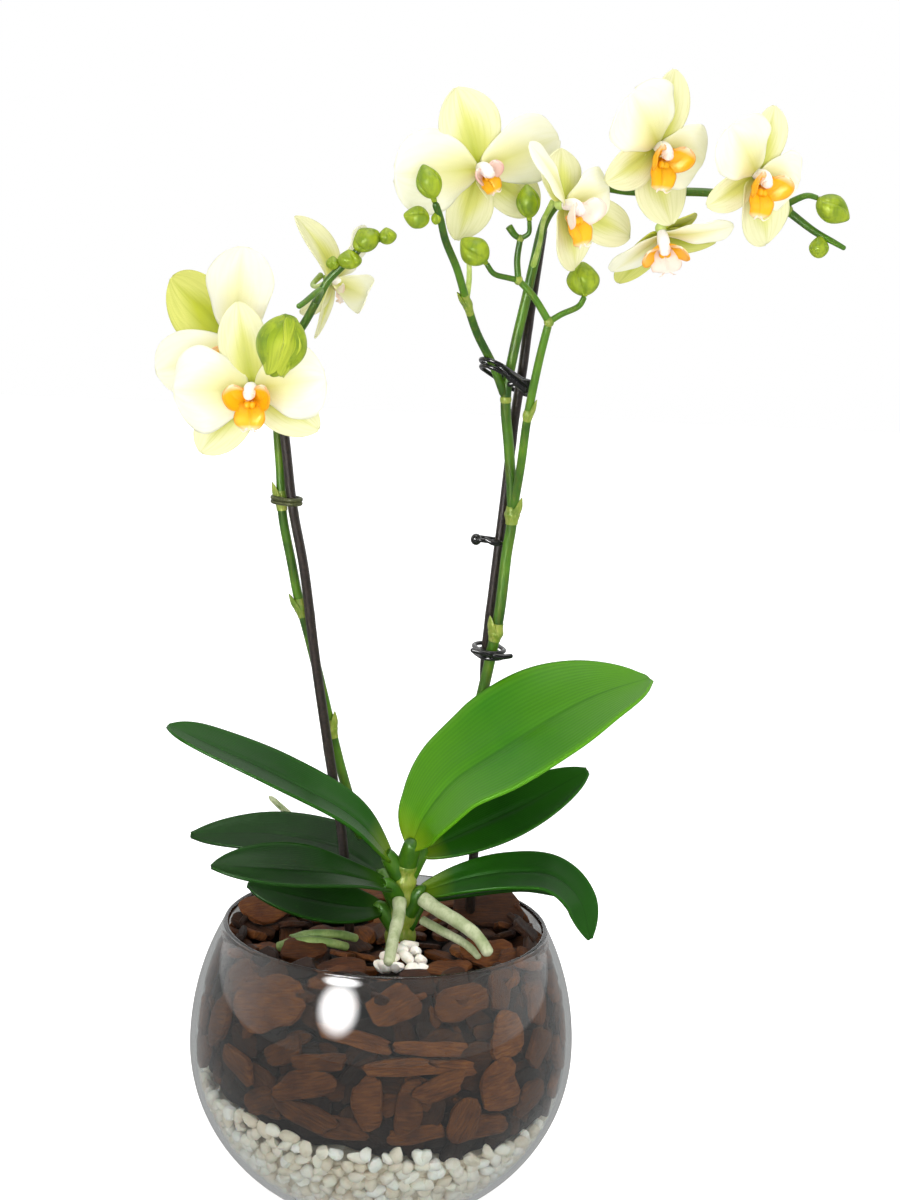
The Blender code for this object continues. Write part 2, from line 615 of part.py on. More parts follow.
def flower_blade(centre, frame, spec, shape, set_back, thickness, cells):
    _, angle, length, lift, half_width, bow, cup, twist = spec
    right, up, face = frame
    a = math.radians(angle)
    out = right * math.cos(a) + up * math.sin(a)
    base = centre + out * FLOWER_BASE_R - face * set_back
    tip = centre + out * length * MM + face * (lift * MM - set_back)

    def line(t):
        return base.lerp(tip, t) + face * (bow * MM * 4 * t * (1 - t))
    return blade(line, half_width * MM, shape, face, cup, twist, thickness, cells, 4)


def make_flower(name, centre, turn, tilt, lip_angle, blades):
    centre = at(centre)
    frame = flower_frame(turn, tilt)
    right, up, face = frame
    a = math.radians(lip_angle)
    lip_up = right * math.cos(a) + up * math.sin(a)
    lip_side = lip_up.cross(face)
    sepals, petals = [], []
    for spec in blades:
        if spec[0] in PETALS:
            petals.append(flower_blade(centre, frame, spec, PETAL_SHAPE, 0.0, PETAL_THICK,
                                       4))
        else:
            sepals.append(flower_blade(centre, frame, spec, SEPAL_SHAPE, SEPAL_SET_BACK,
                                       SEPAL_THICK, 2))
    hub = ball(centre - face * HUB_SET_BACK, Vector((1, 1, 1)) * HUB_RADIUS, 0, 6, 4)
    finish(unite([hub] + sepals), name + "_sepals", material("sepal", COLORS["sepal"], 0.5))
    column = tube([centre + face * GAP, centre + face * COLUMN_LENGTH * 0.6 - lip_up * 0.0003,
                   centre + face * COLUMN_LENGTH - lip_up * 0.002], 0.0026, 0.0024)
    finish(unite([column] + petals), name + "_petals", material("petal", COLORS["petal"], 0.5))
    make_lip(name, centre, face, lip_up, lip_side)


def make_lip(name, centre, face, up, side):
    """The lip: a forward tongue and two side lobes on a small foot."""
    foot = centre + face * 0.0042 - up * LIP_DROP
    parts = [ball(foot, Vector((0.0024, 0.0024, 0.0024)), 0, 6, 4)]
    tip = centre + face * 0.011 - up * LIP_REACH

    def tongue(t):
        return foot.lerp(tip, t) + face * 0.004 * 4 * t * (1 - t)
    parts.append(blade(tongue, LIP_HALF_WIDTH, PETAL_SHAPE, face, 0.25, 0, LIP_THICK, 2, 4))
    for sign in (-1, 1):
        end = centre + face * 0.012 - up * (LIP_DROP + 0.002) + side * sign * LIP_SPREAD

        def lobe(t, end=end, sign=sign):
            return foot.lerp(end, t) + (side * sign - face * 0.5) * 0.002 * 4 * t * (1 - t)
        parts.append(blade(lobe, LIP_HALF_WIDTH * 0.8, PETAL_SHAPE, up, 0.2, -sign * 40,
                           LIP_THICK, 2, 3))
    finish(unite(parts), name + "_lip", material("lip", COLORS["lip"], 0.45))


def at_height(points, z, aside=0.0):
    """The place of a stem or stake at height z (mm on the placements)."""
    line = smooth_line(mm(points, aside), 8)
    z = z * MM + PLANT_RISE
    for a, b in zip(line, line[1:]):
        if a.z <= z <= b.z:
            return a.lerp(b, (z - a.z) / (b.z - a.z))
    return line[-1]


def make_tie(name, one, other, radius):
    """A loop of round wire lying round two points one behind the other."""
    ahead = (other - one).normalized()
    side = ahead.cross(Vector((0, 0, 1))).normalized()
    radius += CLIP_WIRE
    path = []
    for centre, start in ((other, -90), (one, 90)):
        for k in range(6):
            a = math.radians(start + 180 * k / 5)
            path.append(centre + (ahead * math.cos(a) + side * math.sin(a)) * radius)
    curve = bpy.data.curves.new(name, 'CURVE')
    curve.dimensions = '3D'
    curve.bevel_depth = CLIP_WIRE
    curve.bevel_resolution = 1
    spline = curve.splines.new('POLY')
    spline.points.add(len(path) - 1)
    for point, co in zip(spline.points, path):
        point.co = (*co, 1.0)
    spline.use_cyclic_u = True
    obj = bpy.data.objects.new(name + "_path", curve)
    bpy.context.scene.collection.objects.link(obj)
    bpy.context.view_layer.update()
    mesh = bpy.data.meshes.new_from_object(
        obj.evaluated_get(bpy.context.evaluated_depsgraph_get()))
    drop(obj)
    solid = bpy.data.objects.new(name, mesh)
    bpy.context.scene.collection.objects.link(solid)
    finish(solid, name, material("clip", COLORS["clip"], 0.25))


def make_clips():
    thick = SPIKE_RADIUS + GAP * 2
    low = CLIP_HEIGHTS["clip_low"]
    make_tie("clip_low", at_height(RIGHT_SPIKE, low), at_height(RIGHT_STAKE, low, RIGHT_ASIDE),
             thick + 0.0015)
    mid = at_height(RIGHT_STAKE, CLIP_HEIGHTS["clip_mid"], RIGHT_ASIDE)
    make_tie("clip_mid", mid + Vector((-0.009, -0.001, 0.001)), mid, STAKE_RADIUS + GAP * 2)
    high = CLIP_HEIGHTS["clip_high"]
    branch = RIGHT_BRANCHES[0][0]
    make_tie("clip_high", at_height(branch, high + 5),
             at_height(RIGHT_STAKE, high - 5, RIGHT_ASIDE), thick + 0.0022)
    left = CLIP_HEIGHTS["tie_left"]
    make_tie("tie_left", at_height(LEFT_SPIKE, left), at_height(LEFT_STAKE, left, LEFT_ASIDE),
             LEFT_SPIKE_RADIUS + GAP * 2)


def main():
    make_bowl()
    make_crown()
    for leaf in LEAVES:
        make_leaf(*leaf)
    for name, points, r0, r1 in ROOTS:
        finish(tube(mm(points), r0 * MM, r1 * MM, 2), name, material("root", COLORS["root"], 0.7))
    make_stakes()
    make_spikes()
    for name, centre, half, lean in BUDS:
        finish(ball(at(centre), Vector(half) * MM, lean, 10, 7), name,
               material("bud", COLORS["bud"], 0.45))
    for flower in FLOWERS:
        make_flower(*flower)
    make_clips()
    make_beds([socket_for(CROWN_AXIS, CROWN_RADIUS, 2),
               socket_for(LEFT_STAKE, STAKE_RADIUS, 1, LEFT_ASIDE),
               socket_for(RIGHT_STAKE, STAKE_RADIUS, 1, RIGHT_ASIDE)])


for old in list(bpy.data.objects):
    bpy.data.objects.remove(old, do_unlink=True)
PART = bpy.data.collections.new("orchid_in_bowl")
CUTTERS = bpy.data.collections.new("cutters")
for group in (PART, CUTTERS):
    bpy.context.scene.collection.children.link(group)
main()
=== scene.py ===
"""Looks of a potted orchid in a round glass bowl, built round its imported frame.

Lengths are in metres unless a name or a docstring says millimetres.  Places that
the plant's design fixes (stems, leaves, roots, flowers) are repeated here in
millimetres from the bowl's base centre, as in the design.
"""
import logging
import math
import random
from dataclasses import dataclass, field
from enum import Enum
from typing import Callable, Iterable, Sequence

import bpy
import numpy as np
from mathutils import Matrix, Vector, noise


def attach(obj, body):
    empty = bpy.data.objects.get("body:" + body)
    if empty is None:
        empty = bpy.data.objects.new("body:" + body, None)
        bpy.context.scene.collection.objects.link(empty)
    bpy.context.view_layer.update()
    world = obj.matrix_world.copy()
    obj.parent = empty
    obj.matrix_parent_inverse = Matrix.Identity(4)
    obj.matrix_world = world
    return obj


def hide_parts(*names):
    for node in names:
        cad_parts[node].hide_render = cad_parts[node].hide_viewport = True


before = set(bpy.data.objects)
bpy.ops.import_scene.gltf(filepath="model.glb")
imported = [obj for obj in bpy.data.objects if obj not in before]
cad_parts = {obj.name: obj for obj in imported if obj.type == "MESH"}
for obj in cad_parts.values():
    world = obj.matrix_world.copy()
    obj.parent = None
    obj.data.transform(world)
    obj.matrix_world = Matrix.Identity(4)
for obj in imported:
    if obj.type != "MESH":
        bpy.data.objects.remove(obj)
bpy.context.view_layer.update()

MM = 0.001
ROOT = "root"

log = logging.getLogger("orchid")

Point = tuple[float, float, float]
Line = Callable[[float], Vector]


class Slot(Enum):
    """The record's material slots."""

    GLASS = "glass"
    PEBBLES = "pebbles"
    BARK = "bark"
    STEM = "stem"
    LEAF = "leaf"
    LEAF_DARK_SHADED = "leaf_dark"
    ROOT = "root"
    STAKE = "stake"
    CLIP = "clip"
    PETAL = "petal"
    SEPAL = "sepal"
    LIP = "lip"
    BUD = "bud"


# ------------------------------------------------------------------ materials
def rgb(code: str) -> tuple[float, float, float, float]:
    """Turn an sRGB hex colour to linear.

    Args:
        code: six hex digits, red first.

    Returns:
        Linear red, green, blue and an alpha of 1.
    """
    parts = [int(code[i:i + 2], 16) / 255 for i in (0, 2, 4)]
    linear = [p / 12.92 if p <= 0.04045 else ((p + 0.055) / 1.055) ** 2.4 for p in parts]
    return (*linear, 1.0)


def add(tree: bpy.types.NodeTree, kind: str, inputs: dict | None = None,
        stops: Sequence[tuple[float, str]] = (), **settings: object) -> bpy.types.Node:
    """Add a node with its settings and links.

    Args:
        tree: the material's node tree.
        kind: the node's type name.
        inputs: a value or an output socket for each input, by name or index.
        stops: places and hex colours, for a colour ramp.
        **settings: the node's own properties.

    Returns:
        The new node.
    """
    made = tree.nodes.new(kind)
    for key, value in settings.items():
        setattr(made, key, value)
    for key, value in (inputs or {}).items():
        if isinstance(value, bpy.types.NodeSocket):
            tree.links.new(value, made.inputs[key])
        else:
            made.inputs[key].default_value = value
    for i, (place, code) in enumerate(stops):
        elements = made.color_ramp.elements
        stop = elements[i] if i < 2 else elements.new(place)
        stop.position = place
        stop.color = rgb(code)
    return made


def remap(tree: bpy.types.NodeTree, value: bpy.types.NodeSocket,
          taken: tuple[float, float], given: tuple[float, float]) -> bpy.types.NodeSocket:
    """Stretch a range of values to another, held at its ends.

    Args:
        tree: the material's node tree.
        value: what to stretch.
        taken: the range that is read.
        given: the range that comes out.

    Returns:
        The new value.
    """
    (low, high), (start, end) = taken, given
    return add(tree, "ShaderNodeMapRange", {0: value, 1: low, 2: high, 3: start,
                                            4: end}).outputs[0]


def blend(tree: bpy.types.NodeTree, amount: object, first: object, second: object,
          way: str = "MIX") -> bpy.types.NodeSocket:
    """Mix two colours by an amount, in one of the Mix node's ways.

    Args:
        tree: the material's node tree.
        amount: share of the second colour, 0 to 1.
        first: the colour below.
        second: the colour laid over it.
        way: the Mix node's blend type.

    Returns:
        The mixed colour.
    """
    return add(tree, "ShaderNodeMix", {0: amount, 6: first, 7: second}, data_type="RGBA",
               blend_type=way).outputs[2]


def ramp(tree: bpy.types.NodeTree, value: bpy.types.NodeSocket,
         stops: Sequence[tuple[float, str]]) -> bpy.types.NodeSocket:
    """Colour a value by stops of place and hex colour.

    Args:
        tree: the material's node tree.
        value: what to colour.
        stops: places and hex colours.

    Returns:
        The colour.
    """
    return add(tree, "ShaderNodeValToRGB", {0: value}, stops).outputs[0]


def grain_of(tree: bpy.types.NodeTree, place: bpy.types.NodeSocket, scale: float,
             detail: float, roughness: float = 0.5,
             distortion: float = 0.0) -> bpy.types.NodeSocket:
    """Noise from 0 to 1; a scale of 1000 has features about a millimetre apart.

    Args:
        tree: the material's node tree.
        place: the vector it is read at.
        scale: features to a metre.
        detail: how many finer layers it has.
        roughness: how strong those layers are.
        distortion: how far it is bent.

    Returns:
        The noise.
    """
    return add(tree, "ShaderNodeTexNoise", {
        "Vector": place, "Scale": scale, "Detail": detail, "Roughness": roughness,
        "Distortion": distortion}).outputs[0]


def relief_of(tree: bpy.types.NodeTree, height: bpy.types.NodeSocket, strength: float,
              distance: float) -> bpy.types.NodeSocket:
    """Turn a height to a normal.

    Args:
        tree: the material's node tree.
        height: the height, 0 to 1.
        strength: share of the relief that shows.
        distance: the full height in metres.

    Returns:
        The normal.
    """
    return add(tree, "ShaderNodeBump", {"Height": height, "Strength": strength,
                                        "Distance": distance}).outputs[0]


def maths(tree: bpy.types.NodeTree, operation: str, first: object,
          second: object = None) -> bpy.types.NodeSocket:
    """Work out one sum on one or two values.

    Args:
        tree: the material's node tree.
        operation: the Math node's operation.
        first: the first value.
        second: the second value, if the operation has one.

    Returns:
        The result.
    """
    values = {0: first} if second is None else {0: first, 1: second}
    return add(tree, "ShaderNodeMath", values, operation=operation).outputs[0]


def glowing(tree: bpy.types.NodeTree, skin: bpy.types.NodeSocket, code: str,
            amount: float) -> bpy.types.NodeSocket:
    """Let some light through a thin skin.

    Args:
        tree: the material's node tree.
        skin: the skin's shader.
        code: hex colour of the light that comes through.
        amount: share that comes through, 0 to 1.

    Returns:
        The mixed shader.
    """
    glow = add(tree, "ShaderNodeBsdfTranslucent", {"Color": rgb(code)})
    return add(tree, "ShaderNodeMixShader", {0: amount, 1: skin,
                                             2: glow.outputs[0]}).outputs[0]


@dataclass(frozen=True)
class Finish:
    """A finish: a named material with its own surface recipe."""

    name: str

    def material(self) -> bpy.types.Material:
        """Return the finish's material, made on first use."""
        found = bpy.data.materials.get(self.name)
        if found:
            return found
        made = bpy.data.materials.new(self.name)
        made.use_nodes = True
        made.node_tree.nodes.clear()
        shader = self.surface(made.node_tree)
        add(made.node_tree, "ShaderNodeOutputMaterial", {"Surface": shader})
        return made

    def surface(self, tree: bpy.types.NodeTree) -> bpy.types.NodeSocket:
        """Build the shader in a tree and return its output socket."""
        raise NotImplementedError


def across_and_along(tree: bpy.types.NodeTree) -> tuple[bpy.types.NodeSocket, ...]:
    """Read a blade's own UV map.

    Args:
        tree: the material's node tree.

    Returns:
        The UV vector, the distance from the midrib (0 to 1) and the place
        along the blade (0 at its base, 1 at its tip).
    """
    uv = add(tree, "ShaderNodeUVMap", uv_map="UVMap").outputs[0]
    parts = add(tree, "ShaderNodeSeparateXYZ", {0: uv})
    centred = maths(tree, "SUBTRACT", parts.outputs[0], 0.5)
    doubled = maths(tree, "MULTIPLY", centred, 2.0)
    side = maths(tree, "ABSOLUTE", doubled)
    return uv, side, parts.outputs[1]


@dataclass(frozen=True)
class Glass(Finish):
    """Blown soda-lime glass: clear, smooth, with a faint grey-green tint."""

    name: str = "blown_clear_glass"
    tint: str = "F6FAF9"

    def surface(self, tree: bpy.types.NodeTree) -> bpy.types.NodeSocket:
        """Clear shader that lets light through to what lies behind."""
        coord = add(tree, "ShaderNodeTexCoord").outputs["Object"]
        # blown glass has slow waves, a few centimetres long
        waves = grain_of(tree, coord, 28.0, 1.0)
        bump = relief_of(tree, waves, 0.05, 0.001)
        glass = add(tree, "ShaderNodeBsdfPrincipled", {
            "Base Color": rgb(self.tint), "Roughness": 0.0, "IOR": 1.45,
            "Transmission Weight": 1.0, "Normal": bump})
        clear = add(tree, "ShaderNodeBsdfTransparent", {"Color": rgb("F4F7F6")})
        path = add(tree, "ShaderNodeLightPath")
        return add(tree, "ShaderNodeMixShader", {
            0: path.outputs["Is Shadow Ray"], 1: glass.outputs[0], 2: clear.outputs[0]}).outputs[0]


@dataclass(frozen=True)
class Marble(Finish):
    """Tumbled white marble gravel: chalky white with warm veins and dust."""

    name: str = "tumbled_white_marble"

    def surface(self, tree: bpy.types.NodeTree) -> bpy.types.NodeSocket:
        """White stone, each pebble a little different in warmth."""
        coord = add(tree, "ShaderNodeTexCoord").outputs["Object"]
        tone = add(tree, "ShaderNodeAttribute", attribute_name="tone").outputs["Fac"]
        stone = ramp(tree, tone, ((0.0, "E9DCC8"), (0.45, "F5EDDF"), (1.0, "FFFDF8")))
        # warm veins a few millimetres apart
        vein = grain_of(tree, coord, 240.0, 6.0, roughness=0.65)
        shade = ramp(tree, vein, ((0.3, "D9C4A4"), (0.5, "FBF6EC"), (0.75, "FFFFFF")))
        colour = blend(tree, 0.35, stone, shade, "MULTIPLY")
        # crushed edges and pits under a millimetre
        grit = grain_of(tree, coord, 900.0, 4.0)
        bump = relief_of(tree, grit, 0.35, 0.0004)
        return add(tree, "ShaderNodeBsdfPrincipled", {
            "Base Color": colour, "Roughness": 0.62, "Normal": bump,
            "Subsurface Weight": 0.12, "Subsurface Scale": 0.002}).outputs[0]


@dataclass(frozen=True)
class PineBark(Finish):
    """Dry pine bark chips: layered brown, with grain along each chip and painted shade where chips
    overlap.
    """

    name: str = "pine_bark_chips"

    def surface(self, tree: bpy.types.NodeTree) -> bpy.types.NodeSocket:
        """Layered brown with grain along each chip, in its own UV map (cm)."""
        uv = add(tree, "ShaderNodeUVMap", uv_map="UVMap").outputs[0]
        tone = add(tree, "ShaderNodeAttribute", attribute_name="tone").outputs["Fac"]
        # growth layers about 1.2 mm apart along the chip
        stretched = add(tree, "ShaderNodeMapping", {0: uv, 3: (0.55, 4.2, 1.0)})
        grain = grain_of(tree, stretched.outputs[0], 2.4, 7.0, roughness=0.62, distortion=0.5)
        patch = grain_of(tree, uv, 0.9, 3.0)
        base = ramp(tree, tone,
                    ((0.0, "26160A"), (0.35, "5E3814"), (0.75, "8A5624"), (1.0, "B07E46")))
        streak = ramp(tree, grain, ((0.30, "5E3E28"), (0.47, "B9987A"), (0.64, "FFF3E0")))
        worn = ramp(tree, patch, ((0.35, "8A6A58"), (0.65, "FFFFFF")))
        grained = blend(tree, 0.72, base, streak, "MULTIPLY")
        colour = blend(tree, 0.6, grained, worn, "MULTIPLY")
        # painted shade: the colour is darkened where chips lie close over one another
        painted_overlap_shade = add(tree, "ShaderNodeAmbientOcclusion", {"Distance": 0.006}, only_local=True)
        shade = remap(tree, painted_overlap_shade.outputs["AO"], (0.30, 0.90), (0.04, 1.0))
        colour = blend(tree, 1.0, colour, shade, "MULTIPLY")
        bump = relief_of(tree, grain, 0.8, 0.0009)
        rough = remap(tree, grain, (0.0, 1.0), (0.55, 0.85))
        return add(tree, "ShaderNodeBsdfPrincipled", {
            "Base Color": colour, "Roughness": rough,
            "Specular IOR Level": 0.35, "Normal": bump}).outputs[0]


@dataclass(frozen=True)
class Leafy(Finish):
    """A waxy orchid leaf: even green, fine parallel veins, a dark midline."""

    name: str = "waxy_leaf"
    base: str = "8FA81E"
    low: str = "529006"
    high: str = "307404"
    edge: str = "5FA314"
    midline: str = "164E04"

    def surface(self, tree: bpy.types.NodeTree) -> bpy.types.NodeSocket:
        """Green that deepens from the base, with veins read from the UV map."""
        uv, side, along = across_and_along(tree)
        coord = add(tree, "ShaderNodeTexCoord").outputs["Object"]
        body = ramp(tree, along,
                    ((0.0, self.base), (0.16, self.low), (0.55, self.high), (1.0, self.low)))
        rim = remap(tree, side, (0.86, 1.0), (0.0, 0.55))
        edged = blend(tree, rim, body, rgb(self.edge))
        mid = remap(tree, side, (0.0, 0.045), (0.6, 0.0))
        lined = blend(tree, mid, edged, rgb(self.midline))
        # about fourteen veins a side, running along the blade
        fan = add(tree, "ShaderNodeMapping", {0: uv, 3: (1.0, 0.06, 1.0)})
        veins = add(tree, "ShaderNodeTexWave", {"Vector": fan.outputs[0], "Scale": 9.0,
                                                "Distortion": 1.2, "Detail": 2.0},
                    bands_direction="X")
        cloud = grain_of(tree, coord, 34.0, 4.0)
        dark = remap(tree, veins.outputs[1], (0.0, 1.0), (0.0, 0.30))
        veined = blend(tree, dark, lined, rgb(self.midline))
        mottle = remap(tree, cloud, (0.3, 0.7), (0.0, 0.22))
        colour = blend(tree, mottle, veined, rgb(self.low))
        pores = grain_of(tree, coord, 1400.0, 2.0)
        height = maths(tree, "ADD", veins.outputs[1], pores)
        bump = relief_of(tree, height, 0.16, 0.0005)
        wax = add(tree, "ShaderNodeBsdfPrincipled", {
            "Base Color": colour, "Roughness": 0.40, "Specular IOR Level": 0.22,
            "Coat Weight": 0.05, "Coat Roughness": 0.2, "Normal": bump})
        return glowing(tree, wax.outputs[0], self.edge, 0.08)


@dataclass(frozen=True)
class Flesh(Finish):
    """Fresh petal tissue: soft, slightly see-through, with fanned veins."""

    name: str = "cream_petal"
    heart: str = "CED04E"
    body: str = "F3F0BE"
    rim: str = "FDFCEC"
    vein: str = "E2E29E"
    glow: str = "E9E88E"
    through: float = 0.24
    vein_strength: float = 0.13

    def surface(self, tree: bpy.types.NodeTree) -> bpy.types.NodeSocket:
        """Cream tissue, greener along the midrib and near the base."""
        uv, side, along = across_and_along(tree)
        coord = add(tree, "ShaderNodeTexCoord").outputs["Object"]
        # the green heart fades outwards from the base and from the midrib
        reach = maths(tree, "MULTIPLY", side, 0.75)
        spread = maths(tree, "ADD", reach, along)
        colour = ramp(tree, spread, ((0.02, self.heart), (0.62, self.body), (1.30, self.rim)))
        fan = add(tree, "ShaderNodeMapping", {0: uv, 3: (1.0, 0.07, 1.0)})
        veins = grain_of(tree, fan.outputs[0], 19.0, 3.0, distortion=0.4)
        thin = remap(tree, veins, (0.48, 0.66), (0.0, self.vein_strength))
        veined = blend(tree, thin, colour, rgb(self.vein))
        crystal = grain_of(tree, coord, 1600.0, 2.0)
        height = maths(tree, "ADD", veins, crystal)
        bump = relief_of(tree, height, 0.22, 0.0006)
        skin = add(tree, "ShaderNodeBsdfPrincipled", {
            "Base Color": veined, "Roughness": 0.5, "Specular IOR Level": 0.3,
            "Sheen Weight": 0.15, "Sheen Roughness": 0.4, "Normal": bump})
        return glowing(tree, skin.outputs[0], self.glow, self.through)


@dataclass(frozen=True)
class LipFlesh(Finish):
    """The lip: orange-yellow tissue, red-brown flecks, a white tip."""

    name: str = "orange_lip"
    base: str = "EC9606"
    middle: str = "FFC414"
    tip: str = "FFF3D2"
    fleck: str = "8A2A08"
    fleck_amount: float = 0.45

    def surface(self, tree: bpy.types.NodeTree) -> bpy.types.NodeSocket:
        """Orange that pales to white past the middle, flecked near the base."""
        _, side, along = across_and_along(tree)
        coord = add(tree, "ShaderNodeTexCoord").outputs["Object"]
        colour = ramp(tree, along,
                      ((0.0, self.base), (0.35, self.middle), (0.80, self.middle), (1.0, self.tip)))
        spots = grain_of(tree, coord, 520.0, 2.0)
        few = remap(tree, spots, (0.60, 0.70), (0.0, self.fleck_amount))
        near = remap(tree, along, (0.15, 0.6), (1.0, 0.0))
        amount = maths(tree, "MULTIPLY", few, near)
        flecked = blend(tree, amount, colour, rgb(self.fleck))
        lit = remap(tree, side, (0.70, 1.0), (0.0, 0.55))
        edged = blend(tree, lit, flecked, rgb(self.base))
        bump = relief_of(tree, spots, 0.2, 0.0004)
        skin = add(tree, "ShaderNodeBsdfPrincipled", {
            "Base Color": edged, "Roughness": 0.36, "Normal": bump,
            "Coat Weight": 0.15, "Coat Roughness": 0.2})
        return glowing(tree, skin.outputs[0], self.middle, 0.22)


@dataclass(frozen=True)
class Skin(Finish):
    """Smooth plant skin on stems, buds and roots: two tones and fine streaks."""

    name: str = "green_stem"
    dark: str = "244A04"
    light: str = "4E7C08"
    spot: str = "76701C"
    patch_mm: float = 22.0
    streak_mm: float = 1.6
    stretch: Point = (1.0, 1.0, 0.08)
    spot_amount: float = 0.3
    roughness: float = 0.42
    relief: float = 0.2
    through: float = 0.0

    def surface(self, tree: bpy.types.NodeTree) -> bpy.types.NodeSocket:
        """Patches of two tones with streaks that run along the piece."""
        coord = add(tree, "ShaderNodeTexCoord").outputs["Object"]
        patch = grain_of(tree, coord, 1 / (self.patch_mm * MM), 3.0)
        drawn = add(tree, "ShaderNodeMapping", {0: coord, 3: self.stretch})
        streak = grain_of(tree, drawn.outputs[0], 1 / (self.streak_mm * MM), 4.0)
        two = ramp(tree, patch, ((0.32, self.dark), (0.68, self.light)))
        some = remap(tree, streak, (0.48, 0.72), (0.0, self.spot_amount))
        colour = blend(tree, some, two, rgb(self.spot))
        bump = relief_of(tree, streak, self.relief, 0.0005)
        skin = add(tree, "ShaderNodeBsdfPrincipled", {
            "Base Color": colour, "Roughness": self.roughness,
            "Normal": bump})
        if not self.through:
            return skin.outputs[0]
        return glowing(tree, skin.outputs[0], self.light, self.through)


@dataclass(frozen=True)
class Plain(Finish):
    """A matt painted or cast surface with a faint unevenness."""

    name: str = "studio_paper"
    colour: str = "FFFFFF"
    second: str = "FAFAFA"
    roughness: float = 0.8
    coat: float = 0.0
    grain_mm: float = 2.0
    relief: float = 0.1

    def surface(self, tree: bpy.types.NodeTree) -> bpy.types.NodeSocket:
        """Two close tones in a fine noise, with a little relief."""
        coord = add(tree, "ShaderNodeTexCoord").outputs["Object"]
        fine = grain_of(tree, coord, 1 / (self.grain_mm * MM), 4.0)
        colour = ramp(tree, fine, ((0.35, self.colour), (0.65, self.second)))
        bump = relief_of(tree, fine, self.relief, 0.0003)
        return add(tree, "ShaderNodeBsdfPrincipled", {
            "Base Color": colour, "Roughness": self.roughness,
            "Coat Weight": self.coat, "Coat Roughness": 0.1,
            "Normal": bump}).outputs[0]


GLASS = Glass()
MARBLE = Marble()
BARK = PineBark()
LEAF = Leafy()
# partly painted shade: darker copies of the leaf finish for all leaves but the big one; partly their
# own deeper green, partly the shade the lower and back leaves lie in
LEAF_DARK_SHADED = Leafy("waxy_dark_shaded_leaf", "345C0E", "123A04", "082602", "1E500A", "041801")
LEAF_MID_SHADED = Leafy("waxy_mid_shaded_leaf", "7C9A14", "1C5204", "0F3C03", "2A680A", "082802")
PETAL = Flesh()
SEPAL = Flesh("lime_sepal", "A8B41C", "DFE080", "F4F2C6", "BEC244", "D2D24C", through=0.22,
              vein_strength=0.28)
LIME = Flesh("yellow_green_sepal", "8E9E10", "BDC430", "DEDF74", "9AA61C", "B4BC26", through=0.20,
             vein_strength=0.30)
COLUMN = Flesh("blush_column", "F0B8B4", "FBEDE4", "FFFDFA", "E79A96", "FBE6DC", through=0.15,
               vein_strength=0.25)
LIP = LipFlesh()
LIP_WHITE = LipFlesh("white_lip_lobe", "F3C9B4", "FDF0E2", "FFFDF4", "B8503A", fleck_amount=0.35)
LIP_PINK = LipFlesh("pink_lip_tip", "EBA79C", "F9DCCF", "FFF4EC", "A03A20", fleck_amount=0.30)
STEM = Skin()
LEAF_FOOT = Skin("leaf_foot", "1E4E04", "4A7A0C", "6E8A1E", patch_mm=20.0, streak_mm=1.8,
                 stretch=(1, 1, 0.1), spot_amount=0.25, roughness=0.4)
NODE = Skin("olive_stem_node", "5C7A1C", "8C9A34", "B0A860", patch_mm=8.0, streak_mm=1.0,
            stretch=(1, 1, 0.3), spot_amount=0.45)
BUD = Skin("lime_bud", "6F8A0E", "9DB018", "4E6A0A", patch_mm=6.0, streak_mm=1.6,
           stretch=(1, 1, 0.14), spot_amount=0.5, roughness=0.42, relief=0.45, through=0.10)
ROOT_SKIN = Skin("silver_root", "7E8C5C", "BCC29C", "5F7A44", patch_mm=9.0, streak_mm=1.2,
                 stretch=(1, 1, 0.5), spot_amount=0.35, roughness=0.62, relief=0.35)
STAKE = Plain("stained_cane", "15100D", "2A1F18", roughness=0.38, coat=0.25, grain_mm=1.4,
              relief=0.35)
CLIP = Plain("black_moulded_plastic", "080808", "121212", roughness=0.24, coat=0.4, grain_mm=0.8,
             relief=0.1)
# painted shade: near-black body behind the bark chips, standing for the shade in their gaps
BARK_SHADE_BODY = Plain("bark_painted_shade", "0C0604", "1A0E08", roughness=0.9, coat=0.0, grain_mm=2.5, relief=0.6)
# painted shade: tan body behind the pebbles, darker than them, for the shade in their gaps
GRAVEL_SHADE_BODY = Plain("marble_painted_shade", "D8C8AE", "F0E6D4", roughness=0.85, coat=0.0, grain_mm=2.5,
                    relief=0.6)
PAPER = Plain("studio_paper", "FFFFFF", "FBFBFB", roughness=0.85)


# -------------------------------------------------------------- modelling help
def deselect() -> None:
    """Clear the selection."""
    if bpy.context.mode != "OBJECT":
        bpy.ops.object.mode_set(mode="OBJECT")
    bpy.ops.object.select_all(action="DESELECT")


def only(obj: bpy.types.Object) -> None:
    """Make one object the selected and active one."""
    deselect()
    obj.select_set(True)
    bpy.context.view_layer.objects.active = obj


def added(name: str) -> bpy.types.Object:
    """Name the object that an operator has just added and return it."""
    obj = bpy.context.active_object
    obj.name = name
    obj.data.name = name
    return obj


def apply_all(obj: bpy.types.Object) -> bpy.types.Object:
    """Apply an object's modifiers in order."""
    only(obj)
    for mod in list(obj.modifiers):
        bpy.ops.object.modifier_apply(modifier=mod.name)
    return obj


def joined(name: str, parts: Sequence[bpy.types.Object]) -> bpy.types.Object:
    """Join objects into one mesh with a new name."""
    deselect()
    for part in parts:
        part.select_set(True)
    bpy.context.view_layer.objects.active = parts[0]
    if len(parts) > 1:
        bpy.ops.object.join()
    return added(name)


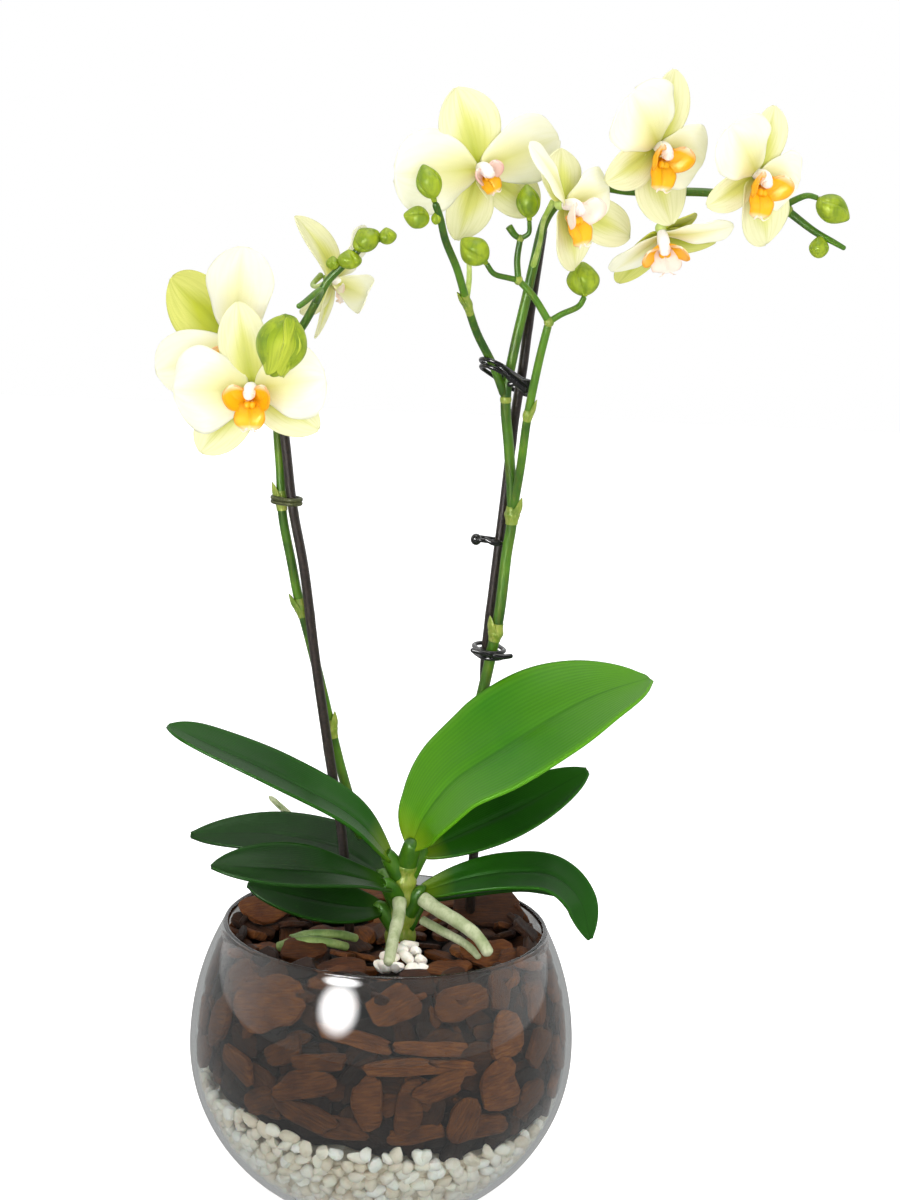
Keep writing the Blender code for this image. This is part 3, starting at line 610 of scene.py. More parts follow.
def outwards(obj: bpy.types.Object, merge: float = 0.0) -> bpy.types.Object:
    """Merge doubles if asked, then turn every face outwards."""
    only(obj)
    bpy.ops.object.mode_set(mode="EDIT")
    bpy.ops.mesh.select_all(action="SELECT")
    if merge:
        bpy.ops.mesh.remove_doubles(threshold=merge)
    bpy.ops.mesh.normals_make_consistent(inside=False)
    bpy.ops.object.mode_set(mode="OBJECT")
    return obj


def smooth(obj: bpy.types.Object, degrees: float = 60.0) -> bpy.types.Object:
    """Shade smooth, keeping edges sharper than an angle."""
    only(obj)
    bpy.ops.object.shade_smooth_by_angle(angle=math.radians(degrees))
    return obj


def pick_edges(obj: bpy.types.Object, test: Callable[[Vector, Vector], bool]) -> None:
    """Enter edit mode with only the edges whose two ends pass a test selected.

    Args:
        obj: the piece.
        test: says of an edge's two end places whether it is wanted.
    """
    only(obj)
    bpy.ops.object.mode_set(mode="EDIT")
    bpy.ops.mesh.select_mode(type="EDGE")
    bpy.ops.mesh.select_all(action="DESELECT")
    bpy.ops.object.mode_set(mode="OBJECT")
    spots = [vertex.co for vertex in obj.data.vertices]
    for edge in obj.data.edges:
        edge.select = test(*(spots[i] for i in edge.vertices))
    bpy.ops.object.mode_set(mode="EDIT")


def dress(obj: bpy.types.Object, finish: Finish, slot: Slot, *nodes: str) -> bpy.types.Object:
    """Give a finished piece its material and body, and hide the design's nodes that it stands for.

    Args:
        obj: the piece, in place.
        finish: its finish, or the first of the finishes already on it.
        slot: not used.
        *nodes: the design's nodes that this piece replaces.

    Returns:
        The piece.
    """
    if not obj.data.materials or obj.data.materials[0] is None:
        obj.data.materials.clear()
        obj.data.materials.append(finish.material())
    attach(obj, ROOT)
    if nodes:
        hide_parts(*nodes)
    log.info("%s: %d faces", obj.name, len(obj.data.polygons))
    return obj


def coat(obj: bpy.types.Object, finish: Finish) -> bpy.types.Object:
    """Give a part its material before it is joined to others."""
    obj.data.materials.clear()
    obj.data.materials.append(finish.material())
    return obj


def positions(obj: bpy.types.Object) -> np.ndarray:
    """The vertices' places as an array."""
    flat = np.empty(len(obj.data.vertices) * 3, np.float32)
    obj.data.vertices.foreach_get("co", flat)
    return flat.reshape(-1, 3)


def reshape(obj: bpy.types.Object, places: np.ndarray) -> None:
    """Move the vertices to new places."""
    obj.data.vertices.foreach_set("co", np.asarray(places, np.float32).ravel())
    obj.data.update()


def spread_line(points: Iterable[Point], offset: Vector = Vector()) -> list[Vector]:
    """Millimetre places as vectors in metres."""
    return [Vector(p) * MM + offset for p in points]


def through(points: Sequence[Vector], per_span: int = 10) -> Line:
    """A smooth line through points, as a function of 0 to 1.

    Args:
        points: the places that the line passes.
        per_span: steps between two of them.

    Returns:
        The line.
    """
    ends = [points[0] * 2 - points[1], *points, points[-1] * 2 - points[-2]]
    dense: list[Vector] = []
    for a, b, c, d in zip(ends, ends[1:], ends[2:], ends[3:]):
        for k in range(per_span):
            t = k / per_span
            dense.append(0.5 * ((2 * b) + (c - a) * t + (2 * a - 5 * b + 4 * c - d) * t * t
                                + (3 * b - a - 3 * c + d) * t ** 3))
    dense.append(points[-1].copy())

    def line(t: float) -> Vector:
        """The place at t from 0 to 1."""
        at = min(max(t, 0.0), 1.0) * (len(dense) - 1)
        i = min(int(at), len(dense) - 2)
        return dense[i].lerp(dense[i + 1], at - i)
    return line


def tube(name: str, line: Line, radius: Callable[[float], float], rings: int,
         sides: int = 14) -> bpy.types.Object:
    """A round piece along a line, closed with rounded ends.

    Args:
        name: the piece's name.
        line: its centre line.
        radius: its radius at a place from 0 to 1.
        rings: how many rings it has.
        sides: how many sides each ring has.

    Returns:
        The piece.
    """
    deselect()
    bpy.ops.mesh.primitive_cylinder_add(vertices=sides, radius=1.0, depth=2.0,
                                        end_fill_type="TRIFAN")
    obj = added(name)
    pick_edges(obj, lambda a, b: abs(a.z - b.z) > 1.0)
    bpy.ops.mesh.subdivide_edgering(number_cuts=rings - 2, interpolation="LINEAR", smoothness=0.0,
                                    profile_shape_factor=0.0)
    bpy.ops.object.mode_set(mode="OBJECT")
    co = positions(obj)
    ts = np.round((co[:, 2] + 1) / 2, 5)
    frames: dict[float, tuple[Vector, Vector, Vector, float]] = {}
    side = Vector((1.0, 0.0, 0.0))
    for t in sorted(set(ts.tolist())):
        ahead = (line(t + 0.004) - line(t - 0.004)).normalized()
        side = (side - ahead * side.dot(ahead)).normalized()
        frames[t] = (line(t), side.copy(), ahead.cross(side), radius(t))
    for i, t in enumerate(ts.tolist()):
        centre, x, y, r = frames[t]
        co[i] = centre + (x * float(co[i, 0]) + y * float(co[i, 1])) * r
    reshape(obj, co)
    return outwards(obj)


def ellipsoid(name: str, centre: Vector, half: Vector, lean: float = 0.0, segments: int = 32,
              rings: int = 20) -> bpy.types.Object:
    """A rounded body that leans in the XZ plane (degrees), with its poles up and down."""
    deselect()
    bpy.ops.mesh.primitive_uv_sphere_add(segments=segments, ring_count=rings, radius=1.0)
    obj = added(name)
    turn = Matrix.Rotation(math.radians(lean), 4, "Y")
    obj.data.transform(Matrix.Translation(centre) @ turn @ Matrix.Diagonal((*half, 1.0)))
    return obj


@dataclass(frozen=True)
class Outline:
    """How a blade's width runs from its base to its tip."""

    peak: float
    tip: float
    claw: float

    def width(self, t: float) -> float:
        """Half width at t from 0 to 1, where the widest is 1."""
        t = min(max(t, 0.0001), 0.995)
        a = self.tip * self.peak / (1 - self.peak)
        most = self.peak ** a * (1 - self.peak) ** self.tip
        lobe = t ** a * (1 - t) ** self.tip / most
        base = self.claw * (1 - t) ** 3
        return base + (1 - base) * lobe


PETAL_SHAPE = Outline(0.62, 0.50, 0.20)
SEPAL_SHAPE = Outline(0.50, 0.62, 0.42)
LEAF_SHAPE = Outline(0.52, 0.62, 0.24)


@dataclass
class Blade:
    """A thin leaf or petal: a grid bent along a line, then thickened."""

    name: str
    line: Line
    half_width: float
    shape: Outline
    normal: Vector
    cup: float = 0.15
    twist: float = 0.0
    thickness: float = 0.0006
    ruffle: float = 0.0
    waves: float = 3.0
    fold: float = 0.0
    curl: float = 0.0
    across: int = 18
    along: int = 36
    seed: float = 0.0

    def build(self) -> bpy.types.Object:
        """Model the blade and return it."""
        deselect()
        bpy.ops.mesh.primitive_grid_add(x_subdivisions=self.across, y_subdivisions=self.along,
                                        size=2.0, calc_uvs=True)
        obj = added(self.name)
        co = positions(obj)
        for i, (s, y, _) in enumerate(co.tolist()):
            co[i] = self.point(s, (y + 1) / 2)
        reshape(obj, co)
        wall = obj.modifiers.new("wall", "SOLIDIFY")
        wall.thickness = self.thickness
        wall.offset = 0.0
        wall.use_even_offset = False
        apply_all(obj)
        outwards(obj)
        return smooth(obj, 180.0)

    def point(self, s: float, t: float) -> Vector:
        """The place at s from -1 to 1 across and t from 0 to 1 along."""
        spot = self.line(t)
        ahead = (self.line(t + 0.01) - self.line(t - 0.01)).normalized()
        across = self.normal.cross(ahead).normalized()
        up = ahead.cross(across)
        turn = Matrix.Rotation(math.radians(self.twist), 3, ahead)
        across, up = turn @ across, turn @ up
        width = self.half_width * self.shape.width(t)
        wave = math.sin(t * self.waves * math.tau + s * 1.7 + self.seed)
        slow = noise.noise(Vector((s * 1.3 + self.seed, t * 2.1, self.seed * 0.7)))
        lift = self.cup * width * s * s
        lift += self.ruffle * (wave * abs(s) ** 3 + 1.4 * slow * abs(s))
        lift -= self.fold * math.exp(-(s / 0.10) ** 2) * math.sin(math.pi * min(t * 1.1, 1.0))
        lift -= self.curl * abs(s) ** 4
        return spot + across * (s * width) + up * lift


# ----------------------------------------------------------------------- bowl
@dataclass
class Bowl:
    """The blown bowl, a body of two half ellipses with a rounded rim."""

    radius: float = 0.100
    rim_z: float = 0.147
    widest_z: float = 0.082
    upper_b: float = 0.1164
    lower_b: float = 0.0937
    wall: float = 0.0026
    floor: float = 0.0055
    bead: float = 0.0020
    steps: int = 144

    def outer(self, z: float) -> float:
        """Outer radius at height z."""
        b = self.upper_b if z > self.widest_z else self.lower_b
        return self.radius * math.sqrt(max(0.0, 1 - ((z - self.widest_z) / b) ** 2))

    def slope(self, z: float) -> float:
        """How the outer radius changes with height."""
        return (self.outer(z + 0.0005) - self.outer(z - 0.0005)) / 0.001

    def inner(self, z: float, clearance: float = 0.0) -> float:
        """Inner radius at height z, less a clearance."""
        return self.outer(z) - (self.wall + clearance) * math.sqrt(1 + self.slope(z) ** 2)

    def limits(self, z: np.ndarray) -> np.ndarray:
        """Inner radii at many heights, for what lies inside."""
        levels = np.linspace(self.floor + 0.004, self.rim_z - self.bead, 160)
        return np.interp(z, levels, [self.inner(float(level)) for level in levels])

    def heights(self, start: float, end: float, rows: int) -> list[float]:
        """Heights at even steps along the wall's curve."""
        def angle(z: float) -> float:
            """The wall's angle at height z."""
            return math.asin((z - self.widest_z) / (self.upper_b if z > self.widest_z
                                                    else self.lower_b))
        first, last = angle(start), angle(end)
        turns = [first + (last - first) * i / rows for i in range(rows + 1)]
        return [self.widest_z + (self.upper_b if a > 0 else self.lower_b) * math.sin(a)
                for a in turns]

    def profile(self) -> list[tuple[float, float]]:
        """The wall's outline as (radius, height), from the inner floor out to the base."""
        top, low = self.rim_z - self.bead, self.floor + 0.004
        points = [(self.inner(low) * k, self.floor) for k in (0.3, 0.6, 0.84)]
        points.append((self.inner(low) * 0.95, self.floor + 0.0012))
        points += [(self.inner(z), z) for z in self.heights(low, top, 40)]
        mid, half = (self.outer(top) + self.inner(top)) / 2, (self.outer(top)
                                                              - self.inner(top)) / 2
        for degrees in range(165, 0, -15):
            a = math.radians(degrees)
            points.append((mid + half * math.cos(a), top + self.bead * math.sin(a)))
        points += [(self.outer(z), z) for z in self.heights(top, 0.0009, 44)]
        edge = self.outer(0.0)
        points += [(edge - 0.0008, 0.0), (edge - 0.010, 0.0), (edge - 0.014, 0.0012)]
        return points + [(edge * k, 0.0016) for k in (0.5, 0.25)]

    def build(self) -> None:
        """Turn the outline from a first ring and dress it as glass."""
        points = self.profile()
        deselect()
        first = points[0]
        bpy.ops.mesh.primitive_circle_add(vertices=self.steps, radius=first[0],
                                          fill_type="TRIFAN", location=(0, 0, first[1]))
        obj = added("glass_bowl_fine")
        bpy.ops.object.transform_apply(location=True, rotation=True, scale=True)
        pick_edges(obj, lambda a, b: min(a.xy.length, b.xy.length) > first[0] * 0.9)
        for (r0, z0), (r1, z1) in zip(points, points[1:]):
            bpy.ops.mesh.extrude_region_move(
                TRANSFORM_OT_translate={"value": (0, 0, z1 - z0)})
            bpy.ops.transform.resize(value=(r1 / r0, r1 / r0, 1), center_override=(0, 0, z1))
        bpy.ops.mesh.edge_face_add()
        bpy.ops.mesh.poke()
        bpy.ops.object.mode_set(mode="OBJECT")
        outwards(obj)
        smooth(obj, 70.0)
        dress(obj, GLASS, Slot.GLASS, "glass_bowl")


BOWL = Bowl()


# ------------------------------------------------------------- pebbles and bark
def boundary(x: float, y: float) -> float:
    """Height where the pebbles end and the bark begins, at a place."""
    share = (x / BOWL.radius + 1) / 2
    height = 0.0635 - 0.0165 * max(0.0, share - 0.12)
    return height + 0.0022 * math.sin(x * 170 + 0.6) * math.cos(y * 120)


@dataclass
class Scatter:
    """Copies of a few modelled lumps, laid inside the glass and joined to one piece."""

    name: str
    rng: random.Random
    variants: list[bpy.types.Object] = field(default_factory=list)
    placed: list[bpy.types.Object] = field(default_factory=list)
    clearance: float = 0.0004

    def put(self, variant: int, where: Matrix, size: Vector, tone: float) -> None:
        """Lay one copy, moved inwards where it would pass through the glass.

        Args:
            variant: which of the modelled lumps.
            where: its place and turn.
            size: its half sizes.
            tone: its shade, 0 to 1.
        """
        source = self.variants[variant % len(self.variants)]
        obj = source.copy()
        obj.data = source.data.copy()
        bpy.context.scene.collection.objects.link(obj)
        own = positions(obj) * np.array(size)
        uv = obj.data.uv_layers["UVMap"]
        corner = np.empty(len(obj.data.loops), np.int32)
        obj.data.loops.foreach_get("vertex_index", corner)
        shift = self.rng.uniform(0, 50)
        flat = np.stack([own[corner, 0] + own[corner, 2] * 0.6,
                         own[corner, 1] + own[corner, 2] * 0.6], 1) * 100 + shift
        uv.data.foreach_set("uv", flat.astype(np.float32).ravel())
        turn = np.array(where.to_3x3())
        spots = own @ turn.T + np.array(where.translation)
        inward = -np.array(where.translation.xy.normalized())
        for _ in range(3):
            excess = np.hypot(spots[:, 0], spots[:, 1]) - BOWL.limits(spots[:, 2])
            if excess.max() > 0:
                spots[:, :2] += inward * (excess.max() + self.clearance)
        spots[:, 2] = np.maximum(spots[:, 2], BOWL.floor + self.clearance)
        reshape(obj, spots)
        shade = obj.data.attributes.new("tone", "FLOAT", "POINT")
        shade.data.foreach_set("value", np.full(len(spots), tone, np.float32))
        self.placed.append(obj)

    def against_wall(self, degrees: float, z: float, inset: float, spin: float,
                     tilt: float) -> Matrix:
        """A frame that lies against the wall, its normal outwards.

        Args:
            degrees: the bearing round the bowl, from +X.
            z: the height.
            inset: how far inside the glass.
            spin: the turn about the normal, in degrees.
            tilt: how far the face leans off the wall, in degrees.

        Returns:
            The frame.
        """
        a = math.radians(degrees)
        out = Vector((math.cos(a), math.sin(a), -BOWL.slope(z))).normalized()
        round_way = Vector((-math.sin(a), math.cos(a), 0.0))
        up = out.cross(round_way)
        spot = Vector((math.cos(a), math.sin(a), 0.0)) * (BOWL.inner(z) - inset)
        base = Matrix((round_way, up, out)).transposed().to_4x4()
        turn = Matrix.Rotation(math.radians(spin), 4, "Z")
        lean = Matrix.Rotation(math.radians(tilt), 4, "X")
        return Matrix.Translation(spot + Vector((0, 0, z))) @ base @ turn @ lean

    def finish(self, finish: Finish, slot: Slot, *nodes: str) -> bpy.types.Object:
        """Join the copies, drop the samples and dress the piece."""
        for sample in self.variants:
            bpy.data.objects.remove(sample, do_unlink=True)
        obj = joined(self.name, self.placed)
        coat(obj, finish)
        smooth(obj, 42.0)
        return dress(obj, finish, slot, *nodes)


@dataclass
class PebbleBed:
    """White marble gravel in the bottom of the bowl, with a few on top."""

    seed: int = 7
    pebble: float = 0.0042
    row_step: float = 0.0058

    def sample(self, rng: random.Random) -> bpy.types.Object:
        """Model one crushed and tumbled pebble of unit size."""
        deselect()
        bpy.ops.mesh.primitive_ico_sphere_add(subdivisions=2, radius=1.0, calc_uvs=True)
        obj = added("pebble")
        co = positions(obj)
        shift = Vector((rng.uniform(0, 40), rng.uniform(0, 40), 0))
        cuts = [Vector((rng.gauss(0, 1), rng.gauss(0, 1), rng.gauss(0, 1))).normalized()
                for _ in range(7)]
        for i, place in enumerate(co.tolist()):
            spot = Vector(place)
            spot *= 1.0 + 0.20 * noise.noise(spot * 1.3 + shift)
            for cut in cuts:
                spot -= cut * max(0.0, spot.dot(cut) - 0.70) * 0.9
            co[i] = spot
        reshape(obj, co)
        return obj

    def size(self, rng: random.Random) -> Vector:
        """The half sizes of one pebble."""
        return Vector((rng.uniform(0.85, 1.4), rng.uniform(0.7, 1.05),
                       rng.uniform(0.6, 0.95))) * self.pebble

    def build(self) -> None:
        """Fill the wall rows, the top of the layer and the few by the roots."""
        rng = random.Random(self.seed)
        layer = Scatter("white_pebbles", rng, [self.sample(rng) for _ in range(7)])
        z = BOWL.floor + 0.004
        while z < 0.066:
            count = int(math.tau * BOWL.inner(z) / 0.0078)
            for k in range(count):
                degrees = (k + rng.uniform(-0.3, 0.3)) * 360 / count
                a = math.radians(degrees)
                x, y = BOWL.inner(z) * math.cos(a), BOWL.inner(z) * math.sin(a)
                if z > boundary(x, y) + 0.001:
                    continue
                where = layer.against_wall(degrees, z + rng.uniform(-0.0015, 0.0015),
                                           rng.uniform(0.0028, 0.0045), rng.uniform(0, 360),
                                           rng.uniform(-30, 30))
                layer.put(rng.randrange(7), where, self.size(rng), rng.random())
            z += self.row_step
        for x, y, z in ((1, -43, 138), (8, -46, 139), (15, -44, 138), (5, -38, 141),
                        (12, -38, 142), (19, -37, 140), (9, -31, 143), (16, -30, 142),
                        (3, -33, 140), (21, -44, 137), (-1, -39, 137), (13, -24, 143)):
            where = Matrix.Translation(Vector((x, y, z)) * MM) @ Matrix.Rotation(
                rng.uniform(0, 6.28), 4, Vector((0.4, 0.3, 1)).normalized())
            layer.put(rng.randrange(7), where, self.size(rng) * 1.05, rng.uniform(0.5, 1.0))
        layer.finish(MARBLE, Slot.PEBBLES, "pebble_bed")
        self.core()

    def core(self) -> None:
        """The body of gravel behind the pebbles that show, in tan painted shade for the gaps between
        them.
        """
        deselect()
        bpy.ops.mesh.primitive_uv_sphere_add(segments=64, ring_count=32, radius=1.0)
        obj = added("pebble_core")
        co = positions(obj)
        for i, (x, y, z) in enumerate(co.tolist()):
            height = BOWL.floor + 0.002 + 0.5 * (z + 1) * 0.052
            reach = max(0.001, BOWL.inner(max(height, 0.010)) - 0.0062)
            flat = math.hypot(x, y)
            share = reach * min(1.0, flat * 1.35) / max(flat, 1e-6)
            px, py = x * share, y * share
            top = boundary(px, py) - 0.003
            co[i] = (px, py, min(height, top) + 0.0012 * noise.noise(Vector((x, y, z)) * 9))
        reshape(obj, co)
        outwards(obj)
        smooth(obj)
        dress(obj, GRAVEL_SHADE_BODY, Slot.PEBBLES)


@dataclass
class BarkBed:
    """Pine bark chips that fill the bowl above the pebbles."""

    seed: int = 19
    thick: float = 0.0021

    def sample(self, rng: random.Random, fine: bool) -> bpy.types.Object:
        """Model one flaked chip of unit size: an uneven slab with worn edges.

        Args:
            rng: the source of its unevenness.
            fine: whether it gets the closer mesh of a chip that shows.

        Returns:
            The chip.
        """
        deselect()
        corners = 18
        bpy.ops.mesh.primitive_circle_add(vertices=corners, radius=1.0, fill_type="NGON",
                                          calc_uvs=True)
        obj = added("chip")
        co = positions(obj)
        blob = rng.uniform(0, 90)
        for i in range(corners):
            a = math.tau * i / corners
            square = 1 / max(abs(math.cos(a)), abs(math.sin(a))) ** 0.45
            reach = 0.88 + 0.42 * noise.noise(Vector((math.cos(a) * 0.9, math.sin(a) * 0.9, blob)))
            reach = square * (reach + rng.uniform(-0.02, 0.02))
            co[i] = (math.cos(a) * reach, math.sin(a) * reach, -0.5)
        reshape(obj, co)
        bpy.ops.object.mode_set(mode="EDIT")
        bpy.ops.mesh.select_all(action="SELECT")
        bpy.ops.mesh.extrude_region_move(TRANSFORM_OT_translate={"value": (0, 0, 1.0)})
        bpy.ops.mesh.select_all(action="SELECT")
        bpy.ops.mesh.normals_make_consistent(inside=False)
        bpy.ops.mesh.select_mode(type="FACE")
        bpy.ops.mesh.select_all(action="DESELECT")
        bpy.ops.object.mode_set(mode="OBJECT")
        for face in obj.data.polygons:
            face.select = abs(face.normal.z) > 0.9
        bpy.ops.object.mode_set(mode="EDIT")
        bpy.ops.mesh.inset(thickness=0.10, depth=0.30, use_individual=True)
        bpy.ops.mesh.poke()
        if fine:
            bpy.ops.mesh.select_all(action="SELECT")
            bpy.ops.mesh.subdivide(number_cuts=2, quadcorner="INNERVERT")
        bpy.ops.mesh.select_mode(type="VERT")
        bpy.ops.object.mode_set(mode="OBJECT")
        shift = Vector((rng.uniform(0, 60), rng.uniform(0, 60), rng.uniform(0, 60)))
        co = positions(obj)
        bow = rng.uniform(-0.25, 0.15)
        for i, place in enumerate(co.tolist()):
            spot = Vector(place)
            stepped = math.floor(noise.noise(spot * 0.9 + shift) * 4) / 4
            spot.z += 0.24 * stepped + 0.14 * noise.noise(spot * 2.2 + shift)
            spot.z += bow * (spot.x ** 2 - 0.4) * 1.5
            spot.x += 0.05 * noise.noise(spot * 2.1 - shift)
            spot.y += 0.05 * noise.noise(spot * 2.4 + shift * 2)
            co[i] = spot
        reshape(obj, co)
        return obj

    def rows(self, layer: Scatter, step: float, spacing: float, insets: tuple[float, float],
             longs: tuple[float, float], wides: tuple[float, float], shade: float,
             skip: tuple[float, float] | None) -> None:
        """Lay rows of chips round the wall.

        Args:
            layer: takes the chips.
            step: the rows' spacing in metres.
            spacing: the chips' spacing along a row, in millimetres.
            insets: how far inside the glass they lie, in millimetres.
            longs: their half lengths, in millimetres.
            wides: their half widths, in millimetres.
            shade: their middle tone, 0 to 1; a low one gives a back layer painted shade.
            skip: bearings left for the listed chips, in degrees.
        """
        rng = layer.rng
        z = 0.047
        while z < 0.137:
            count = int(math.tau * BOWL.inner(z) / (spacing * MM))
            for k in range(count):
                degrees = (k + rng.uniform(-0.3, 0.3)) * 360 / count - 180
                a = math.radians(degrees)
                edge = boundary(BOWL.inner(z) * math.cos(a), BOWL.inner(z) * math.sin(a))
                if z < edge + 0.004 or (skip and skip[0] < degrees < skip[1]):
                    continue
                spin = rng.choice((rng.gauss(0, 20), rng.gauss(0, 20), rng.uniform(0, 180)))
                size = Vector((rng.uniform(*longs), rng.uniform(*wides), 1.0)) * MM
                size.z = self.thick * rng.uniform(0.8, 1.3)
                where = layer.against_wall(degrees, z + rng.uniform(-0.003, 0.003),
                                           rng.uniform(*insets) * MM, spin, rng.gauss(0, 7))
                layer.put(rng.randrange(9), where, size,
                          min(1.0, max(0.0, rng.gauss(shade, 0.18))))
            z += step

    def wall_chips(self) -> None:
        """The chips pressed against the glass, in rows and in chosen places."""
        rng = random.Random(self.seed)
        rough = Scatter("bark_chips_wall", rng, [self.sample(rng, False) for _ in range(9)])
        # painted shade: the back layer of chips gets a dark middle tone (0.08) for the shade behind
        # the front chips
        self.rows(rough, 0.0090, 17.0, (7.5, 11.5), (9, 16), (5.5, 9.0), 0.08, None)
        rough.finish(BARK, Slot.BARK, "bark_bed")
        front = Scatter("bark_chips_front", rng, [self.sample(rng, True) for _ in range(9)])
        self.rows(front, 0.0120, 25.0, (2.2, 4.6), (10, 17), (5.5, 9.5), 0.50, (-168, -14))
        # bearing, height, half length, half width, spin, inset, shade
        chosen = (
            (-129, 124, 22, 17, 12, 2.6, 0.62), (-86, 131, 14, 11, 25, 2.4, 0.55),
            (-60, 131, 18, 10, 6, 2.6, 0.50), (-45, 113, 12, 15, 8, 2.2, 0.78),
            (-50, 87, 14, 15, 4, 2.2, 0.72), (-98, 115, 23, 5, -9, 2.6, 0.70),
            (-74, 112, 22, 5, -5, 2.4, 0.66), (-92, 84, 9, 15, 10, 2.8, 0.58),
            (-79, 83, 8, 16, -8, 2.6, 0.48), (-151, 106, 9, 16, 12, 2.6, 0.45),
            (-139, 90, 14, 8, -14, 2.6, 0.52), (-55, 68, 22, 8, -8, 2.2, 0.55),
            (-111, 92, 19, 9, 16, 3.0, 0.50), (-84, 103, 21, 5, 4, 2.4, 0.60),
            (-68, 101, 19, 5, -7, 2.6, 0.74), (-108, 103, 17, 6, 10, 2.6, 0.44),
            (-112, 75, 20, 7, -20, 2.6, 0.42), (-128, 76, 14, 7, 26, 2.6, 0.38),
            (-62, 74, 12, 10, 60, 3.6, 0.50), (-30, 98, 12, 10, 40, 2.6, 0.46),
            (-24, 118, 12, 10, 74, 2.8, 0.56), (-36, 78, 13, 9, 20, 3.0, 0.40),
            (-104, 130, 12, 9, -30, 3.0, 0.30), (-148, 128, 12, 10, 40, 3.0, 0.48),
            (-120, 104, 13, 8, 30, 4.0, 0.36), (-70, 92, 16, 7, 12, 3.6, 0.60),
            (-100, 70, 16, 7, -4, 2.8, 0.46), (-160, 84, 12, 9, 30, 3.0, 0.40),
            (-44, 132, 12, 9, 66, 3.0, 0.36), (-76, 68, 18, 6, 6, 2.8, 0.52))
        for i, (degrees, z, long, wide, spin, inset, tone) in enumerate(chosen):
            sunk = inset + 2.1 * (i % 3)
            where = front.against_wall(degrees, z * MM, sunk * MM, spin, rng.gauss(0, 2.5))
            front.put(i, where, Vector((long * MM, wide * MM, self.thick)), tone)
        front.finish(BARK, Slot.BARK)

    def top_chips(self) -> None:
        """The loose chips on top, between the stems and the rim."""
        rng = random.Random(self.seed + 1)
        top = Scatter("bark_chips_top", rng, [self.sample(rng, True) for _ in range(8)])
        for ring, count in ((18, 9), (34, 16), (50, 24), (65, 30), (77, 34)):
            for k in range(count):
                a = math.tau * (k + rng.uniform(-0.35, 0.35)) / count
                reach = (ring + rng.uniform(-5, 5)) * MM
                x, y = reach * math.cos(a), reach * math.sin(a)
                if -6 < x / MM < 24 and -48 < y / MM < -22:
                    continue
                size = Vector((rng.uniform(8, 15), rng.uniform(5, 9), 1.0)) * MM
                size.z = self.thick * rng.uniform(0.8, 1.3)
                height = 0.1335 + rng.uniform(-0.003, 0.004)
                turn = Matrix.Rotation(rng.uniform(0, math.tau), 4, "Z")
                lean = Matrix.Rotation(math.radians(rng.gauss(0, 16)), 4, "X")
                lean = lean @ Matrix.Rotation(math.radians(rng.gauss(0, 14)), 4, "Y")
                where = Matrix.Translation((x, y, height)) @ turn @ lean
                top.put(rng.randrange(8), where, size, rng.betavariate(2.0, 2.4))
        # x, y, z, half length, half width, heading, lean, shade
        chosen = (
            (52, -30, 143, 15, 11, 20, 32, 0.55), (52, 34, 145, 20, 13, 12, 38, 0.25),
            (73, 4, 144, 8, 9, 80, 40, 0.10), (-62, 20, 144, 16, 10, 30, 25, 0.60),
            (-50, 40, 144, 14, 9, -20, 30, 0.68), (-40, -28, 140, 14, 9, 10, 20, 0.34),
            (34, -46, 139, 12, 8, -20, 18, 0.48), (-20, -52, 138, 13, 9, 8, 16, 0.36),
            (30, 56, 143, 15, 10, 0, 24, 0.50), (-10, 60, 143, 15, 10, 30, 22, 0.58))
        for i, (x, y, z, long, wide, heading, lean, tone) in enumerate(chosen):
            where = (Matrix.Translation(Vector((x, y, z)) * MM)
                     @ Matrix.Rotation(math.radians(heading), 4, "Z")
                     @ Matrix.Rotation(math.radians(lean), 4, "X"))
            top.put(i, where, Vector((long * MM, wide * MM, self.thick)), tone)
        top.finish(BARK, Slot.BARK)

    def core(self) -> None:
        """Painted shade: the nearly black body of bark behind the chips that show, for the shade in
        the gaps between them.
        """
        deselect()
        bpy.ops.mesh.primitive_uv_sphere_add(segments=72, ring_count=40, radius=1.0)
        obj = added("bark_core")
        co = positions(obj)
        for i, (x, y, z) in enumerate(co.tolist()):
            flat = math.hypot(x, y)
            height = 0.040 + 0.5 * (z + 1) * 0.0905
            reach = (BOWL.inner(height) - 0.0095) * min(1.0, flat * 1.6)
            share = reach / max(flat, 1e-6)
            px, py = x * share, y * share
            height = max(height, boundary(px, py) - 0.002)
            co[i] = (px, py, height + 0.0016 * noise.noise(Vector((x, y, z)) * 8))
        reshape(obj, co)
        outwards(obj)
        smooth(obj)
        dress(obj, BARK_SHADE_BODY, Slot.BARK)

    def build(self) -> None:
        """Make the chips and the body behind them."""
        self.wall_chips()
        self.top_chips()
        self.core()


# ---------------------------------------------------------------------- leaves
@dataclass
class LeafSpec:
    """One leaf: its centre line (mm), half width (mm), cup, roll and finish."""

    node: str
    points: tuple[Point, ...]
    half_width: float
    cup: float
    roll: float
    finish: Leafy
    slot: Slot
    shape: Outline = LEAF_SHAPE
    fold: float = 0.0010
    ruffle: float = 0.0006


